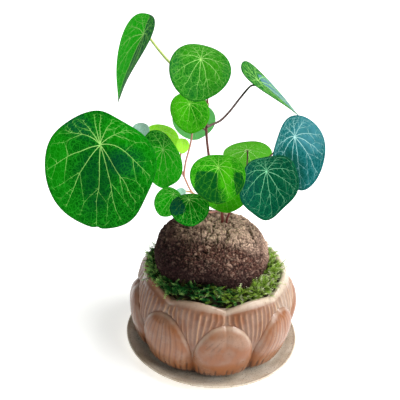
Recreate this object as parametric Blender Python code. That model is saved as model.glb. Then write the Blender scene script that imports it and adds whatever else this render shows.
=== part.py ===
"""Potted stephania: a round corky caudex in a petal-carved ceramic pot on its saucer.

Two leafy stems grow from the crown of the caudex and carry eighteen peltate leaves, each on
its own stalk. The origin is the centre of the saucer's flat underside, +Z is up, and -Y is
the front. Driving sizes are in millimetres and degrees and are turned into metres here.
"""

import math
from dataclasses import dataclass

import bmesh
import bpy
import numpy as np
from mathutils import Matrix

MM = 0.001
GAP = 0.3  # running gap between neighbouring pieces
WALL_GAP = 0.5  # gap to a faceted round wall
SHARP_ANGLE = 50  # degrees between faces, over which an edge is drawn sharp

# Saucer: radius and height, from the foot out, round the rim and in to the floor
SAUCER_SIDES = 48
SAUCER_FLOOR_Z = 3.0
SAUCER_OUTLINE = ((50.0, 0.0), (53.0, 0.9), (69.0, 6.4), (70.0, 7.8), (68.8, 8.4),
                  (67.6, 7.6), (57.0, SAUCER_FLOOR_Z))

# Pot: two rows of eight petals, carved with flutes
POT_X, POT_Y = -0.5, 1.0
PETALS = 8
PETAL_TURN = 10.5  # a lower petal's centre, in degrees from the front towards +X
COLUMNS_PER_PETAL = 16
INNER_STEP = 4  # outer columns to each column of the plain inner wall
POT_BASE_Z = SAUCER_FLOOR_Z + GAP
POT_RECESS_Z = POT_BASE_Z + 2.0  # the recessed underside, inside the foot ring
POT_FLOOR_Z = 11.0
POT_FLOOR_R = 39.5
DRAIN_R = 6.0
POT_UNDER = ((DRAIN_R, POT_RECESS_Z), (41.0, POT_RECESS_Z), (43.0, POT_BASE_Z))
POT_BODY = ((3.3, 50.5), (6.0, 52.3), (10.0, 54.4), (20.0, 58.0), (30.0, 60.6), (40.0, 62.0),
            (50.0, 61.8), (58.0, 60.2), (64.0, 57.8), (68.0, 55.0))
POT_INSIDE = ((62.0, 51.2), (50.0, 52.0), (30.0, 50.5), (17.0, 46.5), (12.0, 42.5))
RIM_Z = 68.0  # mean height of the scalloped rim
RIM_SWING = 2.5  # how far a petal's tip stands over, and a valley lies under, the mean rim
RIM_LIFT_FROM = 0.68  # share of the rim's height where the scallops begin to lift the rows
LIP = ((55.8, -0.7), (53.6, 0.0), (51.6, -1.6))  # radius, and height over the rim
LOWER_ROWS = (0.0, 0.08, 0.24, 0.46, 0.68, 0.86, 1.0)  # shares of the way up a lower petal
UPPER_ROWS = (0.06, 0.36, 0.68, 1.0)  # shares of the way from its edge to the rim's roll
UPPER_ROW_TOP_Z = 65.0
LOWER_PETAL_RELIEF = 4.4
LOWER_PETAL_SHOULDER_Z = 20.0
LOWER_PETAL_TOP_Z = 59.5
LOWER_PETAL_TAPER = 1.7  # how soon a lower petal narrows towards its top
PILLOW_ROUND = 0.4  # how squarely a lower petal's pillow rises from its edge
FOOT_TUCK = 12.0  # height over which a lower petal's pillow grows out of the foot
UPPER_PETAL_RELIEF = 1.7
UPPER_RISE_Z, UPPER_RISE = 24.0, 22.0  # where the upper petals' bulge begins, and its height
FLUTE_RELIEF = 0.35
FLUTE_TOP_Z, FLUTE_FADE = 64.0, 8.0  # where the upper flutes end, and their fading height
LOWER_FLUTE_TOP_Z, LOWER_FLUTE_FADE = 40.0, 12.0

# Caudex: height and radius of its outline, about its own upright axis
CAUDEX_X, CAUDEX_Y = -5.0, 2.0
CAUDEX_SIDES = 40
CAUDEX_BOTTOM_Z = 50.0
CAUDEX_OUTLINE = ((CAUDEX_BOTTOM_Z, 21.0), (51.8, 28.0), (55.5, 33.5), (61.0, 37.6),
                  (66.5, 40.4), (73.0, 42.8), (79.5, 44.2), (86.0, 44.2), (92.0, 42.4),
                  (97.0, 38.6), (101.0, 33.2), (104.2, 26.2), (106.7, 18.0), (108.2, 9.5))
CAUDEX_TOP_Z = 108.8
HIP_SWELL, HIP_TURN = 0.035, 1.2  # two hips low down: share of the radius, and radians
NOTCH_DEPTH, NOTCH_TURN, NOTCH_WIDTH = 0.085, 0.06, 0.42  # the notch between them
CROWN_SWELL, CROWN_TURN = 0.02, 2.4
BUMP = 0.011  # slow uneven bumps, as a share of the radius
SOCKET_FLOOR_Z = 105.5
SOCKET_SIDES = 12
SOCKET_CLEAR = 0.4
SOCKET_OVERRUN = 6.0

# Soil and moss
SOIL_Z = 61.0
SOIL_SIDES = 32
SEAT_ROWS = (55.5, 51.8)  # heights of the rings in the soil's seat for the caudex
MOSS_SIDES = 64
MOSS_EDGE_Z = 64.5
MOSS_CREST_Z = 69.0
MOSS_INNER_Z = 66.5
MOSS_ROWS = (0.25, 0.5, 0.75)  # shares of the way from the pot to the caudex
MOSS_LUMP = 1.2
SEED = 7

# Leaves
BLADE = 0.8  # blade thickness
DIMPLE = 0.02  # depth of the hollow over the navel, as a share of the blade's length
STALK_GAP = 0.4  # from a stalk's end to the middle of its blade's underside
STALK_SIDES = 5
STEM_SIDES = 7
LEAF_ROUGHNESS = 0.45


def metres(*values: float) -> tuple:
    """The values in millimetres as a tuple in metres."""
    return tuple(value * MM for value in values)


def material(name: str, colour: tuple, roughness: float):
    """A Principled BSDF material of one colour and roughness."""
    made = bpy.data.materials.new(name)
    made.use_nodes = True
    shader = made.node_tree.nodes["Principled BSDF"]
    shader.inputs["Base Color"].default_value = (*colour, 1.0)
    shader.inputs["Roughness"].default_value = roughness
    shader.inputs["Metallic"].default_value = 0.0
    return made


def mesh_object(name: str, points, faces, finish=None):
    """One mesh object from points in millimetres and faces as tuples of point numbers."""
    mesh = bpy.data.meshes.new(name)
    mesh.from_pydata([metres(*point) for point in np.asarray(points, float)], [], faces)
    mesh.validate()
    mesh.shade_smooth()
    mesh.set_sharp_from_angle(angle=math.radians(SHARP_ANGLE))
    if finish is not None:
        mesh.materials.append(finish)
    made = bpy.data.objects.new(name, mesh)
    bpy.context.scene.collection.objects.link(made)
    return made


def place(made, parent, x=0.0, y=0.0, z=0.0, rotation=(0.0, 0.0, 0.0)):
    """Hangs an object on its parent, at a place in millimetres and a turn in radians."""
    made.parent = parent
    made.location = metres(x, y, z)
    made.rotation_euler = rotation


def smooth_step(value):
    """0 below 0, 1 above 1, and a smooth rise between."""
    value = np.clip(value, 0.0, 1.0)
    return value * value * (3.0 - 2.0 * value)


def ring(radius, z, sides: int, x=0.0, y=0.0) -> np.ndarray:
    """A closed ring of points, from the front (-Y) towards +X, with radius and z per point."""
    angle = np.linspace(0.0, 2.0 * math.pi, sides, endpoint=False)
    points = np.empty((sides, 3))
    points[:, 0] = x + radius * np.sin(angle)
    points[:, 1] = y - radius * np.cos(angle)
    points[:, 2] = z
    return points


class Loft:
    """Rings of points joined by faces into one closed body, from first ring to last."""

    def __init__(self):
        self.points = []
        self.faces = []
        self.last = None

    def add(self, points) -> list:
        """Appends points and returns their numbers."""
        first = len(self.points)
        self.points.extend(map(tuple, np.asarray(points, float)))
        return list(range(first, len(self.points)))

    def cap(self, point, after: bool) -> None:
        """Closes the last ring with a fan to one point, or starts the body from that point."""
        pole = self.add([point])[0]
        if after:
            count = len(self.last)
            for k in range(count):
                self.faces.append((self.last[k], self.last[(k + 1) % count], pole))
        else:
            self.last = [pole]

    def to(self, points) -> None:
        """Joins the last ring, or pole, to a new ring of as many points or of a divisor."""
        new = self.add(points)
        old = self.last
        if old is not None and len(old) == 1:
            for k in range(len(new)):
                self.faces.append((old[0], new[(k + 1) % len(new)], new[k]))
        elif old is not None:
            self.bridge(old, new)
        self.last = new

    def bridge(self, old: list, new: list) -> None:
        """Triangles between two closed rings whose counts divide one another."""
        if len(old) >= len(new):
            step = len(old) // len(new)
            for k in range(len(new)):
                centre, following = new[k], new[(k + 1) % len(new)]
                half = (step + 1) // 2
                for j in range(step):
                    a = old[(k * step + j) % len(old)]
                    b = old[(k * step + j + 1) % len(old)]
                    self.faces.append((a, b, centre if j < half else following))
                middle = old[(k * step + half) % len(old)]
                self.faces.append((centre, middle, following))
        else:
            step = len(new) // len(old)
            for k in range(len(old)):
                centre, following = old[k], old[(k + 1) % len(old)]
                half = (step + 1) // 2
                for j in range(step):
                    a = new[(k * step + j) % len(new)]
                    b = new[(k * step + j + 1) % len(new)]
                    self.faces.append((b, a, centre if j < half else following))
                middle = new[(k * step + half) % len(new)]
                self.faces.append((middle, centre, following))

    def close(self, first: list) -> None:
        """Joins the last ring back to the first one, for a body like a ring."""
        self.bridge(self.last, first)


def petal_offset(angle: np.ndarray, upper: bool) -> np.ndarray:
    """Angle from the nearest petal's centre, as -1 to 1 across that petal."""
    pitch = 360.0 / PETALS
    turn = np.degrees(angle) - PETAL_TURN - (pitch / 2 if upper else 0.0)
    return ((turn + pitch / 2) % pitch - pitch / 2) / (pitch / 2)


def petal_edge_z(angle: np.ndarray) -> np.ndarray:
    """Height at which the lower row of petals ends: a round arch over each petal."""
    across = np.abs(petal_offset(angle, upper=False))
    arch = np.clip(1.0 - across ** 2, 0.0, 1.0) ** (1.0 / LOWER_PETAL_TAPER)
    return LOWER_PETAL_SHOULDER_Z + (LOWER_PETAL_TOP_Z - LOWER_PETAL_SHOULDER_Z) * arch


def pot_radius(angle: np.ndarray, z: np.ndarray) -> np.ndarray:
    """Outer radius: body curve, bulging upper petals, pillowed lower petals and flutes."""
    heights, radii = zip(*POT_BODY)
    radius = np.interp(z, heights, radii)
    across = np.abs(petal_offset(angle, upper=True))
    rise = smooth_step((z - UPPER_RISE_Z) / UPPER_RISE)
    radius += UPPER_PETAL_RELIEF * rise * (0.45 - across ** 2.2)
    below = np.abs(petal_offset(angle, upper=False))
    span = LOWER_PETAL_TOP_Z - LOWER_PETAL_SHOULDER_Z
    climb = np.clip((z - LOWER_PETAL_SHOULDER_Z) / span, 0.0, 1.0)
    inside = np.clip(1.0 - below ** 2 - climb ** LOWER_PETAL_TAPER, 0.0, 1.0)
    foot = smooth_step((z - POT_BASE_Z) / FOOT_TUCK + 0.3)
    radius += LOWER_PETAL_RELIEF * foot * inside ** PILLOW_ROUND
    columns = np.arange(len(angle))
    flute = np.where(columns % 2 == 0, 1.0, -1.0)
    on_lower = inside > 0.01
    fade_upper = smooth_step((FLUTE_TOP_Z - z) / FLUTE_FADE) * (1.0 - across ** 6)
    fade_lower = smooth_step((LOWER_FLUTE_TOP_Z - z) / LOWER_FLUTE_FADE) * (1.0 - below ** 6)
    return radius + FLUTE_RELIEF * flute * np.where(on_lower, fade_lower, fade_upper)


def rim_shift(angle: np.ndarray) -> np.ndarray:
    """How far the scalloped rim lies above its mean height."""
    across = np.abs(petal_offset(angle, upper=True))
    return RIM_SWING * (1.0 - 2.0 * across ** 1.8)


def pot_inner_radius(z: float) -> float:
    """Radius of the plain inside wall."""
    heights, radii = zip(*reversed(POT_INSIDE))
    return float(np.interp(z, heights, radii))


def make_saucer(finish):
    """The round saucer, turned from its outline."""
    body = Loft()
    body.cap((0.0, 0.0, 0.0), after=False)
    for radius, z in SAUCER_OUTLINE:
        body.to(ring(radius, z, SAUCER_SIDES))
    body.cap((0.0, 0.0, SAUCER_FLOOR_Z), after=True)
    return mesh_object("saucer", body.points, body.faces, finish)


def make_pot(finish):
    """The petal pot, from its drain hole under the foot, up outside, over the lip and down."""
    count = PETALS * COLUMNS_PER_PETAL
    angle = np.linspace(0.0, 2.0 * math.pi, count, endpoint=False)
    coarse = count // INNER_STEP
    body = Loft()
    body.to(ring(DRAIN_R, POT_FLOOR_Z, coarse))
    drain_top = body.last
    for radius, z in POT_UNDER:
        body.to(ring(radius, z, coarse))
    shift = rim_shift(angle)
    edge = petal_edge_z(angle)
    rows = [POT_BASE_Z + share * (edge - POT_BASE_Z) for share in LOWER_ROWS]
    rows += [edge + share * (UPPER_ROW_TOP_Z - edge) for share in UPPER_ROWS]
    for z in rows:
        lifted = z + shift * smooth_step((z / RIM_Z - RIM_LIFT_FROM) / (1.0 - RIM_LIFT_FROM))
        body.to(ring(pot_radius(angle, z), lifted, count))
    for radius, over in LIP:
        body.to(ring(radius, RIM_Z + over + shift, count))
    for z, radius in POT_INSIDE:
        body.to(ring(radius, z, coarse))
    body.to(ring(POT_FLOOR_R, POT_FLOOR_Z, coarse))
    body.close(drain_top)
    return mesh_object("pot", body.points, body.faces, finish)


def caudex_lobes(angle, z):
    """Share by which the caudex swells at an angle: two hips below, a broad bump above."""
    low = smooth_step((92.0 - z) / 34.0)
    high = smooth_step((z - 84.0) / 26.0)
    notch = np.exp(-(np.angle(np.exp(1j * (angle - NOTCH_TURN))) / NOTCH_WIDTH) ** 2)
    hips = HIP_SWELL * np.cos(2.0 * (angle - HIP_TURN)) - NOTCH_DEPTH * notch
    crown = CROWN_SWELL * np.cos(angle - CROWN_TURN)
    bumps = BUMP * (np.sin(5.0 * angle + 0.08 * z) + np.sin(3.0 * angle - 0.11 * z))
    return 1.0 + low * hips + high * crown + bumps


def caudex_ring(z: float, sides: int, clear: float = 0.0, x: float = 0.0,
                y: float = 0.0) -> np.ndarray:
    """A ring round the caudex at one height, pushed out by a clearance."""
    heights, radii = zip(*CAUDEX_OUTLINE)
    angle = np.linspace(0.0, 2.0 * math.pi, sides, endpoint=False)
    radius = np.interp(z, heights, radii) * caudex_lobes(angle, z) + clear
    return ring(radius, z, sides, x, y)


def seat_ring(z: float, sides: int) -> np.ndarray:
    """A ring clear of the caudex, measured from the pot's axis."""
    return caudex_ring(z, sides, WALL_GAP, CAUDEX_X - POT_X, CAUDEX_Y - POT_Y)


def make_caudex(finish, parent, sockets: tuple):
    """The caudex, with a plain socket bored into its crown for each stem."""
    body = Loft()
    body.cap((0.0, 0.0, CAUDEX_BOTTOM_Z), after=False)
    for z, _ in CAUDEX_OUTLINE:
        body.to(caudex_ring(z, CAUDEX_SIDES))
    body.cap((0.0, 0.0, CAUDEX_TOP_Z), after=True)
    made = mesh_object("caudex", body.points, body.faces, finish)
    place(made, parent, CAUDEX_X, CAUDEX_Y)
    for k, (x, y, radius) in enumerate(sockets):
        depth = CAUDEX_TOP_Z + SOCKET_OVERRUN - SOCKET_FLOOR_Z
        bore = Loft()
        bore.cap((0.0, 0.0, 0.0), after=False)
        bore.to(ring(radius, 0.0, SOCKET_SIDES))
        bore.to(ring(radius, depth, SOCKET_SIDES))
        bore.cap((0.0, 0.0, depth), after=True)
        cutter = mesh_object(f"socket_cutter_{k}", bore.points, bore.faces)
        place(cutter, parent, x, y, SOCKET_FLOOR_Z)
        cutter.hide_render = True
        cutter.display_type = "WIRE"
        cut = made.modifiers.new(f"socket_{k}", "BOOLEAN")
        cut.operation = "DIFFERENCE"
        cut.solver = "EXACT"
        cut.object = cutter


def make_soil(finish):
    """Potting soil that fills the pot, with a seat that follows the caudex."""
    body = Loft()
    body.cap((0.0, 0.0, POT_FLOOR_Z + GAP), after=False)
    body.to(ring(POT_FLOOR_R - WALL_GAP, POT_FLOOR_Z + GAP, SOIL_SIDES))
    for z, radius in reversed(POT_INSIDE[1:]):
        body.to(ring(radius - WALL_GAP, z + GAP, SOIL_SIDES))
    body.to(ring(pot_inner_radius(SOIL_Z) - WALL_GAP, SOIL_Z, SOIL_SIDES))
    for z in (SOIL_Z, *SEAT_ROWS):
        body.to(seat_ring(z, SOIL_SIDES))
    body.to(seat_ring(CAUDEX_BOTTOM_Z, SOIL_SIDES) - (0.0, 0.0, GAP))
    body.cap((CAUDEX_X - POT_X, CAUDEX_Y - POT_Y, CAUDEX_BOTTOM_Z - GAP), after=True)
    return mesh_object("soil", body.points, body.faces, finish)


def make_moss(finish):
    """A cushioned ring of moss on the soil, between the caudex and the pot."""
    draw = np.random.default_rng(SEED)
    base = SOIL_Z + GAP
    outer_r = pot_inner_radius(base) - WALL_GAP - GAP
    outer = ring(outer_r, MOSS_EDGE_Z, MOSS_SIDES)
    inner = seat_ring(MOSS_INNER_Z, MOSS_SIDES)
    body = Loft()
    body.to(seat_ring(base, MOSS_SIDES))
    first = body.last
    body.to(ring(outer_r, base, MOSS_SIDES))
    body.to(outer)
    for share in MOSS_ROWS:
        between = outer * (1.0 - share) + inner * share
        cushion = math.sin(math.pi * share) ** 0.7
        between[:, 2] = MOSS_EDGE_Z + (MOSS_CREST_Z - MOSS_EDGE_Z) * cushion
        between[:, 2] += MOSS_LUMP * draw.uniform(-1.0, 1.0, MOSS_SIDES)
        body.to(between)
    body.to(inner)
    body.close(first)
    return mesh_object("moss", body.points, body.faces, finish)


@dataclass(frozen=True)
class Leaf:
    """One peltate blade, placed by its navel, where the stalk joins it from below."""

    name: str
    navel: tuple  # millimetres
    facing: tuple  # azimuth (0 is +X, 90 is +Y) and elevation of the upper side, degrees
    roll: float  # turn of the tip from straight down, towards the plant's left from the front
    length: float
    width: float
    colour: tuple
    fold: float = 5.0  # degrees that each half rises from the midrib
    fold_gain: float = 0.0  # extra fold from base to tip
    twist: float = 0.0  # degrees of twist from base to tip
    curl: float = 0.0  # degrees that each half turns on, from midrib to margin
    droop: float = 4.0  # degrees that the tip bends back
    tuck: float = 2.0  # degrees that the base bends back
    share: float = 0.28  # length above the navel, as a share of the whole
    point: float = 0.05  # how far the tip is drawn out, as a share of the radius
    egg: float = 0.05
    lean: float = 0.0
    swells: tuple = ()  # (count, amount, angle in degrees where one is highest)
    approach: float = 7.0  # how far under the blade its stalk turns to meet it squarely
    wave: float = 0.5  # height of the margin's slow wave, millimetres
    spokes: int = 24
    rings: int = 3

    def axes(self) -> tuple:
        """Unit vectors across the blade, along it to the tip, and out of its upper side."""
        azimuth, elevation = (math.radians(value) for value in self.facing)
        out = np.array([math.cos(elevation) * math.cos(azimuth),
                        math.cos(elevation) * math.sin(azimuth), math.sin(elevation)])
        down = np.array([0.0, 0.0, -1.0])
        along = down - out * (down @ out)
        along /= np.linalg.norm(along)
        side = np.cross(along, out)
        turn = math.radians(self.roll)
        tip = math.cos(turn) * along + math.sin(turn) * side
        return np.cross(tip, out), tip, out

    def outline(self, angle: np.ndarray) -> tuple:
        """Flat outline about the navel: an egg-shaped round with a drawn tip and swells."""
        radius = 1.0 + self.point * np.exp(-(angle / 0.35) ** 2)
        radius -= 0.05 * np.exp(-((math.pi - np.abs(angle)) / 0.55) ** 2)
        for count, amount, centre in self.swells:
            radius += amount * np.cos(count * (angle - math.radians(centre)))
        u = 0.5 * self.width * radius * np.sin(angle) * (1.0 - self.egg * np.cos(angle))
        v = (0.5 - self.share) * self.length + 0.5 * self.length * radius * np.cos(angle)
        return u + self.lean * v, v

    def surface(self, reach: np.ndarray, angle: np.ndarray, lift: float) -> np.ndarray:
        """Points of the bent blade, in its own frame, at shares of the way to the margin."""
        edge_u, edge_v = self.outline(angle)
        u, v = reach * edge_u, reach * edge_v
        half = np.radians(self.fold + self.fold_gain * v / self.length)
        soft = 0.1 * self.width
        x = u * np.cos(half)
        h = np.sin(half) * (np.sqrt(u ** 2 + soft ** 2) - soft)
        h = h + 0.5 * math.radians(self.curl) * u ** 2 / (0.5 * self.width)
        turn = math.radians(self.twist) * v / self.length
        x, h = x * np.cos(turn) - h * np.sin(turn), x * np.sin(turn) + h * np.cos(turn)
        h = h + self.wave * reach ** 2 * np.sin(3.0 * angle + self.navel[0])
        h = h - DIMPLE * self.length * (1.0 - reach) ** 4
        below = -math.radians(self.droop) / ((1.0 - self.share) * self.length) - 1e-7
        above = -math.radians(self.tuck) / (self.share * self.length) - 1e-7
        rate = np.where(v > 0.0, below, above)
        way = np.abs(v)
        y = (np.sin(rate * way) / rate - h * np.sin(rate * way)) * np.where(v < 0.0, -1.0, 1.0)
        z = (1.0 - np.cos(rate * way)) / rate + h * np.cos(rate * way) + lift
        return np.column_stack([x, y, z])

    def under(self, distance: float = 0.0) -> np.ndarray:
        """The point under the navel where a stalk ends, or a point further down from it."""
        depth = DIMPLE * self.length + 0.5 * BLADE + STALK_GAP + distance
        return np.asarray(self.navel) - self.axes()[2] * depth


def make_leaf(leaf: Leaf, parent):
    """A thin closed blade, split into triangles alike on both faces, turned into place."""
    angle = np.linspace(-math.pi, math.pi, leaf.spokes, endpoint=False)
    shares = (np.arange(1, leaf.rings + 1) / leaf.rings) ** 0.9
    reach = np.concatenate([[0.0], np.repeat(shares, leaf.spokes)])
    turns = np.concatenate([[0.0], np.tile(angle, leaf.rings)])
    upper = leaf.surface(reach, turns, 0.5 * BLADE)
    lower = leaf.surface(reach, turns, -0.5 * BLADE)
    count = len(reach)
    faces = []

    def number(row: int, k: int) -> int:
        return 1 + (row - 1) * leaf.spokes + k % leaf.spokes

    for k in range(leaf.spokes):
        faces.append((0, number(1, k), number(1, k + 1)))
        for row in range(1, leaf.rings):
            a, b = number(row, k), number(row, k + 1)
            c, d = number(row + 1, k), number(row + 1, k + 1)
            faces += [(a, c, d), (a, d, b)]
    under = [tuple(count + corner for corner in reversed(face)) for face in faces]
    edge = []
    for k in range(leaf.spokes):
        a, b = number(leaf.rings, k), number(leaf.rings, k + 1)
        edge += [(a, count + a, count + b), (a, count + b, b)]
    made = mesh_object(leaf.name, np.vstack([upper, lower]), faces + under + edge,
                       material(leaf.name, leaf.colour, LEAF_ROUGHNESS))
    clean = bmesh.new()
    clean.from_mesh(made.data)
    bmesh.ops.recalc_face_normals(clean, faces=clean.faces)
    clean.to_mesh(made.data)
    clean.free()
    turn = Matrix(np.column_stack(leaf.axes())).to_euler()
    place(made, parent, *leaf.navel, rotation=turn)


def spline(points, samples: int) -> np.ndarray:
    """A smooth curve through the points (Catmull-Rom), with samples to each span."""
    points = np.asarray(points, float)
    padded = np.vstack([2 * points[0] - points[1], points, 2 * points[-1] - points[-2]])
    t = np.linspace(0.0, 1.0, samples, endpoint=False)[:, None]
    spans = []
    for k in range(len(points) - 1):
        a, b, c, d = padded[k:k + 4]
        spans.append(0.5 * (2 * b + (c - a) * t + (2 * a - 5 * b + 4 * c - d) * t ** 2
                            + (3 * b - a - 3 * c + d) * t ** 3))
    return np.vstack(spans + [points[-1:]])


def tube(name: str, path, start_r: float, end_r: float, sides: int, samples: int):
    """A tapering tube with closed ends along a smooth path through the points."""
    line = spline(path, samples)
    along = np.gradient(line, axis=0)
    along /= np.linalg.norm(along, axis=1)[:, None]
    seed = np.array([0.3, -1.0, 0.1])
    side = seed - along * (along @ seed)[:, None]
    side /= np.linalg.norm(side, axis=1)[:, None]
    other = np.cross(along, side)
    turn = np.linspace(0.0, 2.0 * math.pi, sides, endpoint=False)
    body = Loft()
    body.cap(line[0], after=False)
    for k, centre in enumerate(line):
        radius = start_r + (end_r - start_r) * k / (len(line) - 1)
        body.to(centre + radius * (np.outer(np.cos(turn), side[k])
                                   - np.outer(np.sin(turn), other[k])))
    body.cap(line[-1], after=True)
    return mesh_object(name, body.points, body.faces)


def fuse(name: str, pieces: list, finish):
    """One object that is the union of the pieces, which are removed afterwards."""
    helpers = bpy.data.collections.new(f"{name}_pieces")
    bpy.context.scene.collection.children.link(helpers)
    base = pieces[0]
    for piece in pieces[1:]:
        bpy.context.scene.collection.objects.unlink(piece)
        helpers.objects.link(piece)
    union = base.modifiers.new("union", "BOOLEAN")
    union.operation = "UNION"
    union.operand_type = "COLLECTION"
    union.collection = helpers
    union.solver = "EXACT"
    bpy.context.view_layer.update()
    graph = bpy.context.evaluated_depsgraph_get()
    mesh = bpy.data.meshes.new_from_object(base.evaluated_get(graph))
    mesh.name = name
    mesh.materials.clear()
    mesh.materials.append(finish)
    for piece in pieces:
        bpy.data.objects.remove(piece, do_unlink=True)
    bpy.data.collections.remove(helpers)
    made = bpy.data.objects.new(name, mesh)
    bpy.context.scene.collection.objects.link(made)
    return made


DEEP = (0.02, 0.20, 0.03)
MID = (0.05, 0.30, 0.04)
LIME = (0.20, 0.55, 0.04)
TEAL = (0.03, 0.20, 0.16)
BLUE = (0.10, 0.33, 0.38)
PALE = (0.45, 0.66, 0.52)

LEAVES = (
    Leaf("leaf_left_large", (-82.4, -46, 187.4), (-98, 17), -2, 78, 77, DEEP, fold=1, curl=-3,
         droop=5, share=0.29, point=0.08, egg=0.02, swells=((5, 0.02, 36), (4, 0.02, -22)),
         wave=1.0, spokes=32, rings=5),
    Leaf("leaf_top_left", (-64, 24, 244.5), (207, 25), -2, 65, 52, MID, fold=12, twist=-18,
         droop=6, tuck=0, share=0.26, point=0.08, lean=-0.06, swells=((3, 0.03, -15),),
         rings=4, approach=4.0),
    Leaf("leaf_top", (-19.5, -18, 241.8), (-80, 32), 8, 38, 41, MID, lean=0.03,
         swells=((3, 0.02, 20),)),
    Leaf("leaf_top_right", (22.5, 34, 212.8), (2, 53), -18, 65, 52, MID, fold=5, fold_gain=-5,
         twist=11, curl=-2, droop=10, tuck=9, share=0.30, swells=((3, 0.03, 40),),
         rings=4, approach=3.0),
    Leaf("leaf_right", (51, 8, 180.8), (-54, 19), -3, 55, 49, BLUE, fold=8,
         swells=((3, 0.05, 75), (4, 0.03, -11)), rings=4),
    Leaf("leaf_right_front", (29, -48, 177.8), (-71, 29), -2, 40, 44, TEAL, fold=14, point=0.1,
         share=0.27, lean=0.09, swells=((5, 0.03, 0), (2, 0.035, 30)), rings=4),
    Leaf("leaf_centre", (-3, -60, 183.8), (-88, 31), 0, 32, 36, LIME, fold=7, share=0.29,
         swells=((3, 0.012, -15),)),
    Leaf("leaf_centre_low", (1, -35, 160), (-84, 60), -4, 31, 34, LIME, fold=6),
    Leaf("leaf_right_back", (18, 40, 154.4), (95, 40), 10, 46, 39, LIME, fold=4, share=0.30,
         lean=-0.04, swells=((3, 0.03, 60),)),
    Leaf("leaf_left_mid", (-42.4, -26, 178.4), (-112, 16), -2, 38, 32, MID, fold=13, share=0.32,
         lean=-0.16, swells=((3, 0.085, 37), (2, 0.03, -35))),
    Leaf("leaf_left_back", (-46, 8, 177), (-79, 24), 14, 24, 27, LIME, share=0.26, spokes=20),
    Leaf("leaf_bud_left", (-30, -10, 178), (-66, 32), 11, 11, 10, LIME, fold=9, share=0.30,
         spokes=14, rings=2, wave=0.2),
    Leaf("leaf_upper", (-26.4, -4, 204.8), (-79, 31), 7, 28, 28, LIME, share=0.30, lean=-0.11,
         spokes=20),
    Leaf("leaf_upper_back", (-24.8, 22, 187.8), (96, 21), 7, 35, 32.5, TEAL, spokes=20),
    Leaf("leaf_low_left", (-32.5, -44, 153.8), (-110, 34), 21, 21, 20, MID, fold=6, share=0.20,
         spokes=20),
    Leaf("leaf_low_front", (-21, -60, 158.9), (-86, 44), -7, 22, 26, DEEP, share=0.21, spokes=20),
    Leaf("leaf_young_back", (-60, -8, 187), (-80, 30), 0, 11, 12, PALE, spokes=14, rings=2,
         wave=0.2),
    Leaf("leaf_young_low", (-29, -20, 145), (-80, 40), 0, 7, 7, PALE, spokes=14, rings=2,
         wave=0.1),
)

# Main stem, its left branch, and the right stem: points, start radius, end radius
MAIN_FOOT = (2.4, 4.9, SOCKET_FLOOR_Z + GAP)
RIGHT_FOOT = (5.7, 5.2, SOCKET_FLOOR_Z + GAP)
MAIN_STEM = (MAIN_FOOT, (2.4, 4.9, 109.5), (1.9, 1.6, 115), (1.3, -1.4, 121),
             (-3, -6, 136), (-8, -6, 152), (-11, -4, 167), (-13, -2, 178), (-14, 0, 187),
             (-14, 2, 196), (-14, 3.5, 204))
LEFT_BRANCH = ((0.1, -3.6, 128), (-8, -9, 131.5), (-15, -13, 136), (-22, -14, 142),
               (-29, -12, 155), (-36, -7, 163), (-46, -5, 168))
RIGHT_STEM = (RIGHT_FOOT, (5.7, 5.2, 109.5), (6.6, 1.8, 115), (8.0, -1.0, 121),
              (12, -4, 135), (17, -2, 147))
STEM_R = 0.95
STEM_END_R = 0.8
BRANCH_R = 0.75
BRANCH_END_R = 0.65
RIGHT_R = 0.8
STALK_R = 0.6
STALK_END_R = 0.5
TRUNK_SAMPLES = 3
STALK_SAMPLES = 2
NEAR_SHARE = 0.25  # most of a leaf's length that its stalk's last stretch may take

# Stalks: leaf, where it leaves its stem, and the points that it passes on its way
MAIN_STALKS = (
    ("leaf_top_left", (-14, 3.2, 202), ((-23, 9, 213), (-34, 15, 220.5), (-44, 20, 227),
                                        (-52, 24, 234))),
    ("leaf_top", (-14, 2.8, 200), ((-15, 4, 215), (-18, 1, 228))),
    ("leaf_top_right", (-14, 0, 187), ((-9, 3, 188.5), (-4, 6, 190.5), (1, 10, 195),
                                       (5, 14, 199.5), (9, 19, 204), (15.5, 27.5, 210))),
    ("leaf_upper_back", (-13.6, -0.5, 184), ((-16, 6, 183),)),
    ("leaf_centre", (-6, -6, 146), ((-4, -17, 160), (-3, -38, 172))),
    ("leaf_centre_low", (0.6, -2.6, 125), ((1, -16, 138), (1, -27, 147))),
    ("leaf_low_front", (1.2, -1.5, 122), ((-5, -16, 127), (-15, -36, 138))),
    ("leaf_left_large", (-44, -5.3, 167.4), ((-56, -9, 173), (-68, -18, 179))),
    ("leaf_left_mid", (-29, -12, 155), ((-34, -12, 165),)),
    ("leaf_left_back", (-31, -10.7, 157), ((-38, 2, 157), (-46, 12, 161))),
    ("leaf_bud_left", (-32, -9.8, 159), ((-31, -7, 168),)),
    ("leaf_upper", (-28, -12.4, 153), ((-27, -9, 163), (-25, -4, 172), (-24, 0, 181),
                                       (-25, 4, 190))),
    ("leaf_low_left", (-20, -13.8, 140), ((-25, -23, 138), (-29, -32, 142))),
    ("leaf_young_back", (-45, -5, 168), ((-53, -4, 173), (-59, -2, 180))),
    ("leaf_young_low", (-21, -14, 141), ((-25.5, -15, 142),)),
)
RIGHT_STALKS = (
    ("leaf_right", (16.7, -2.2, 146), ((26, 6, 155), (38, 20, 163))),
    ("leaf_right_front", (17, -2, 147), ((21, -14, 156), (25, -28, 166))),
    ("leaf_right_back", (14, -3.2, 140), ((16, 8, 139), (18, 22, 141))),
)


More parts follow.
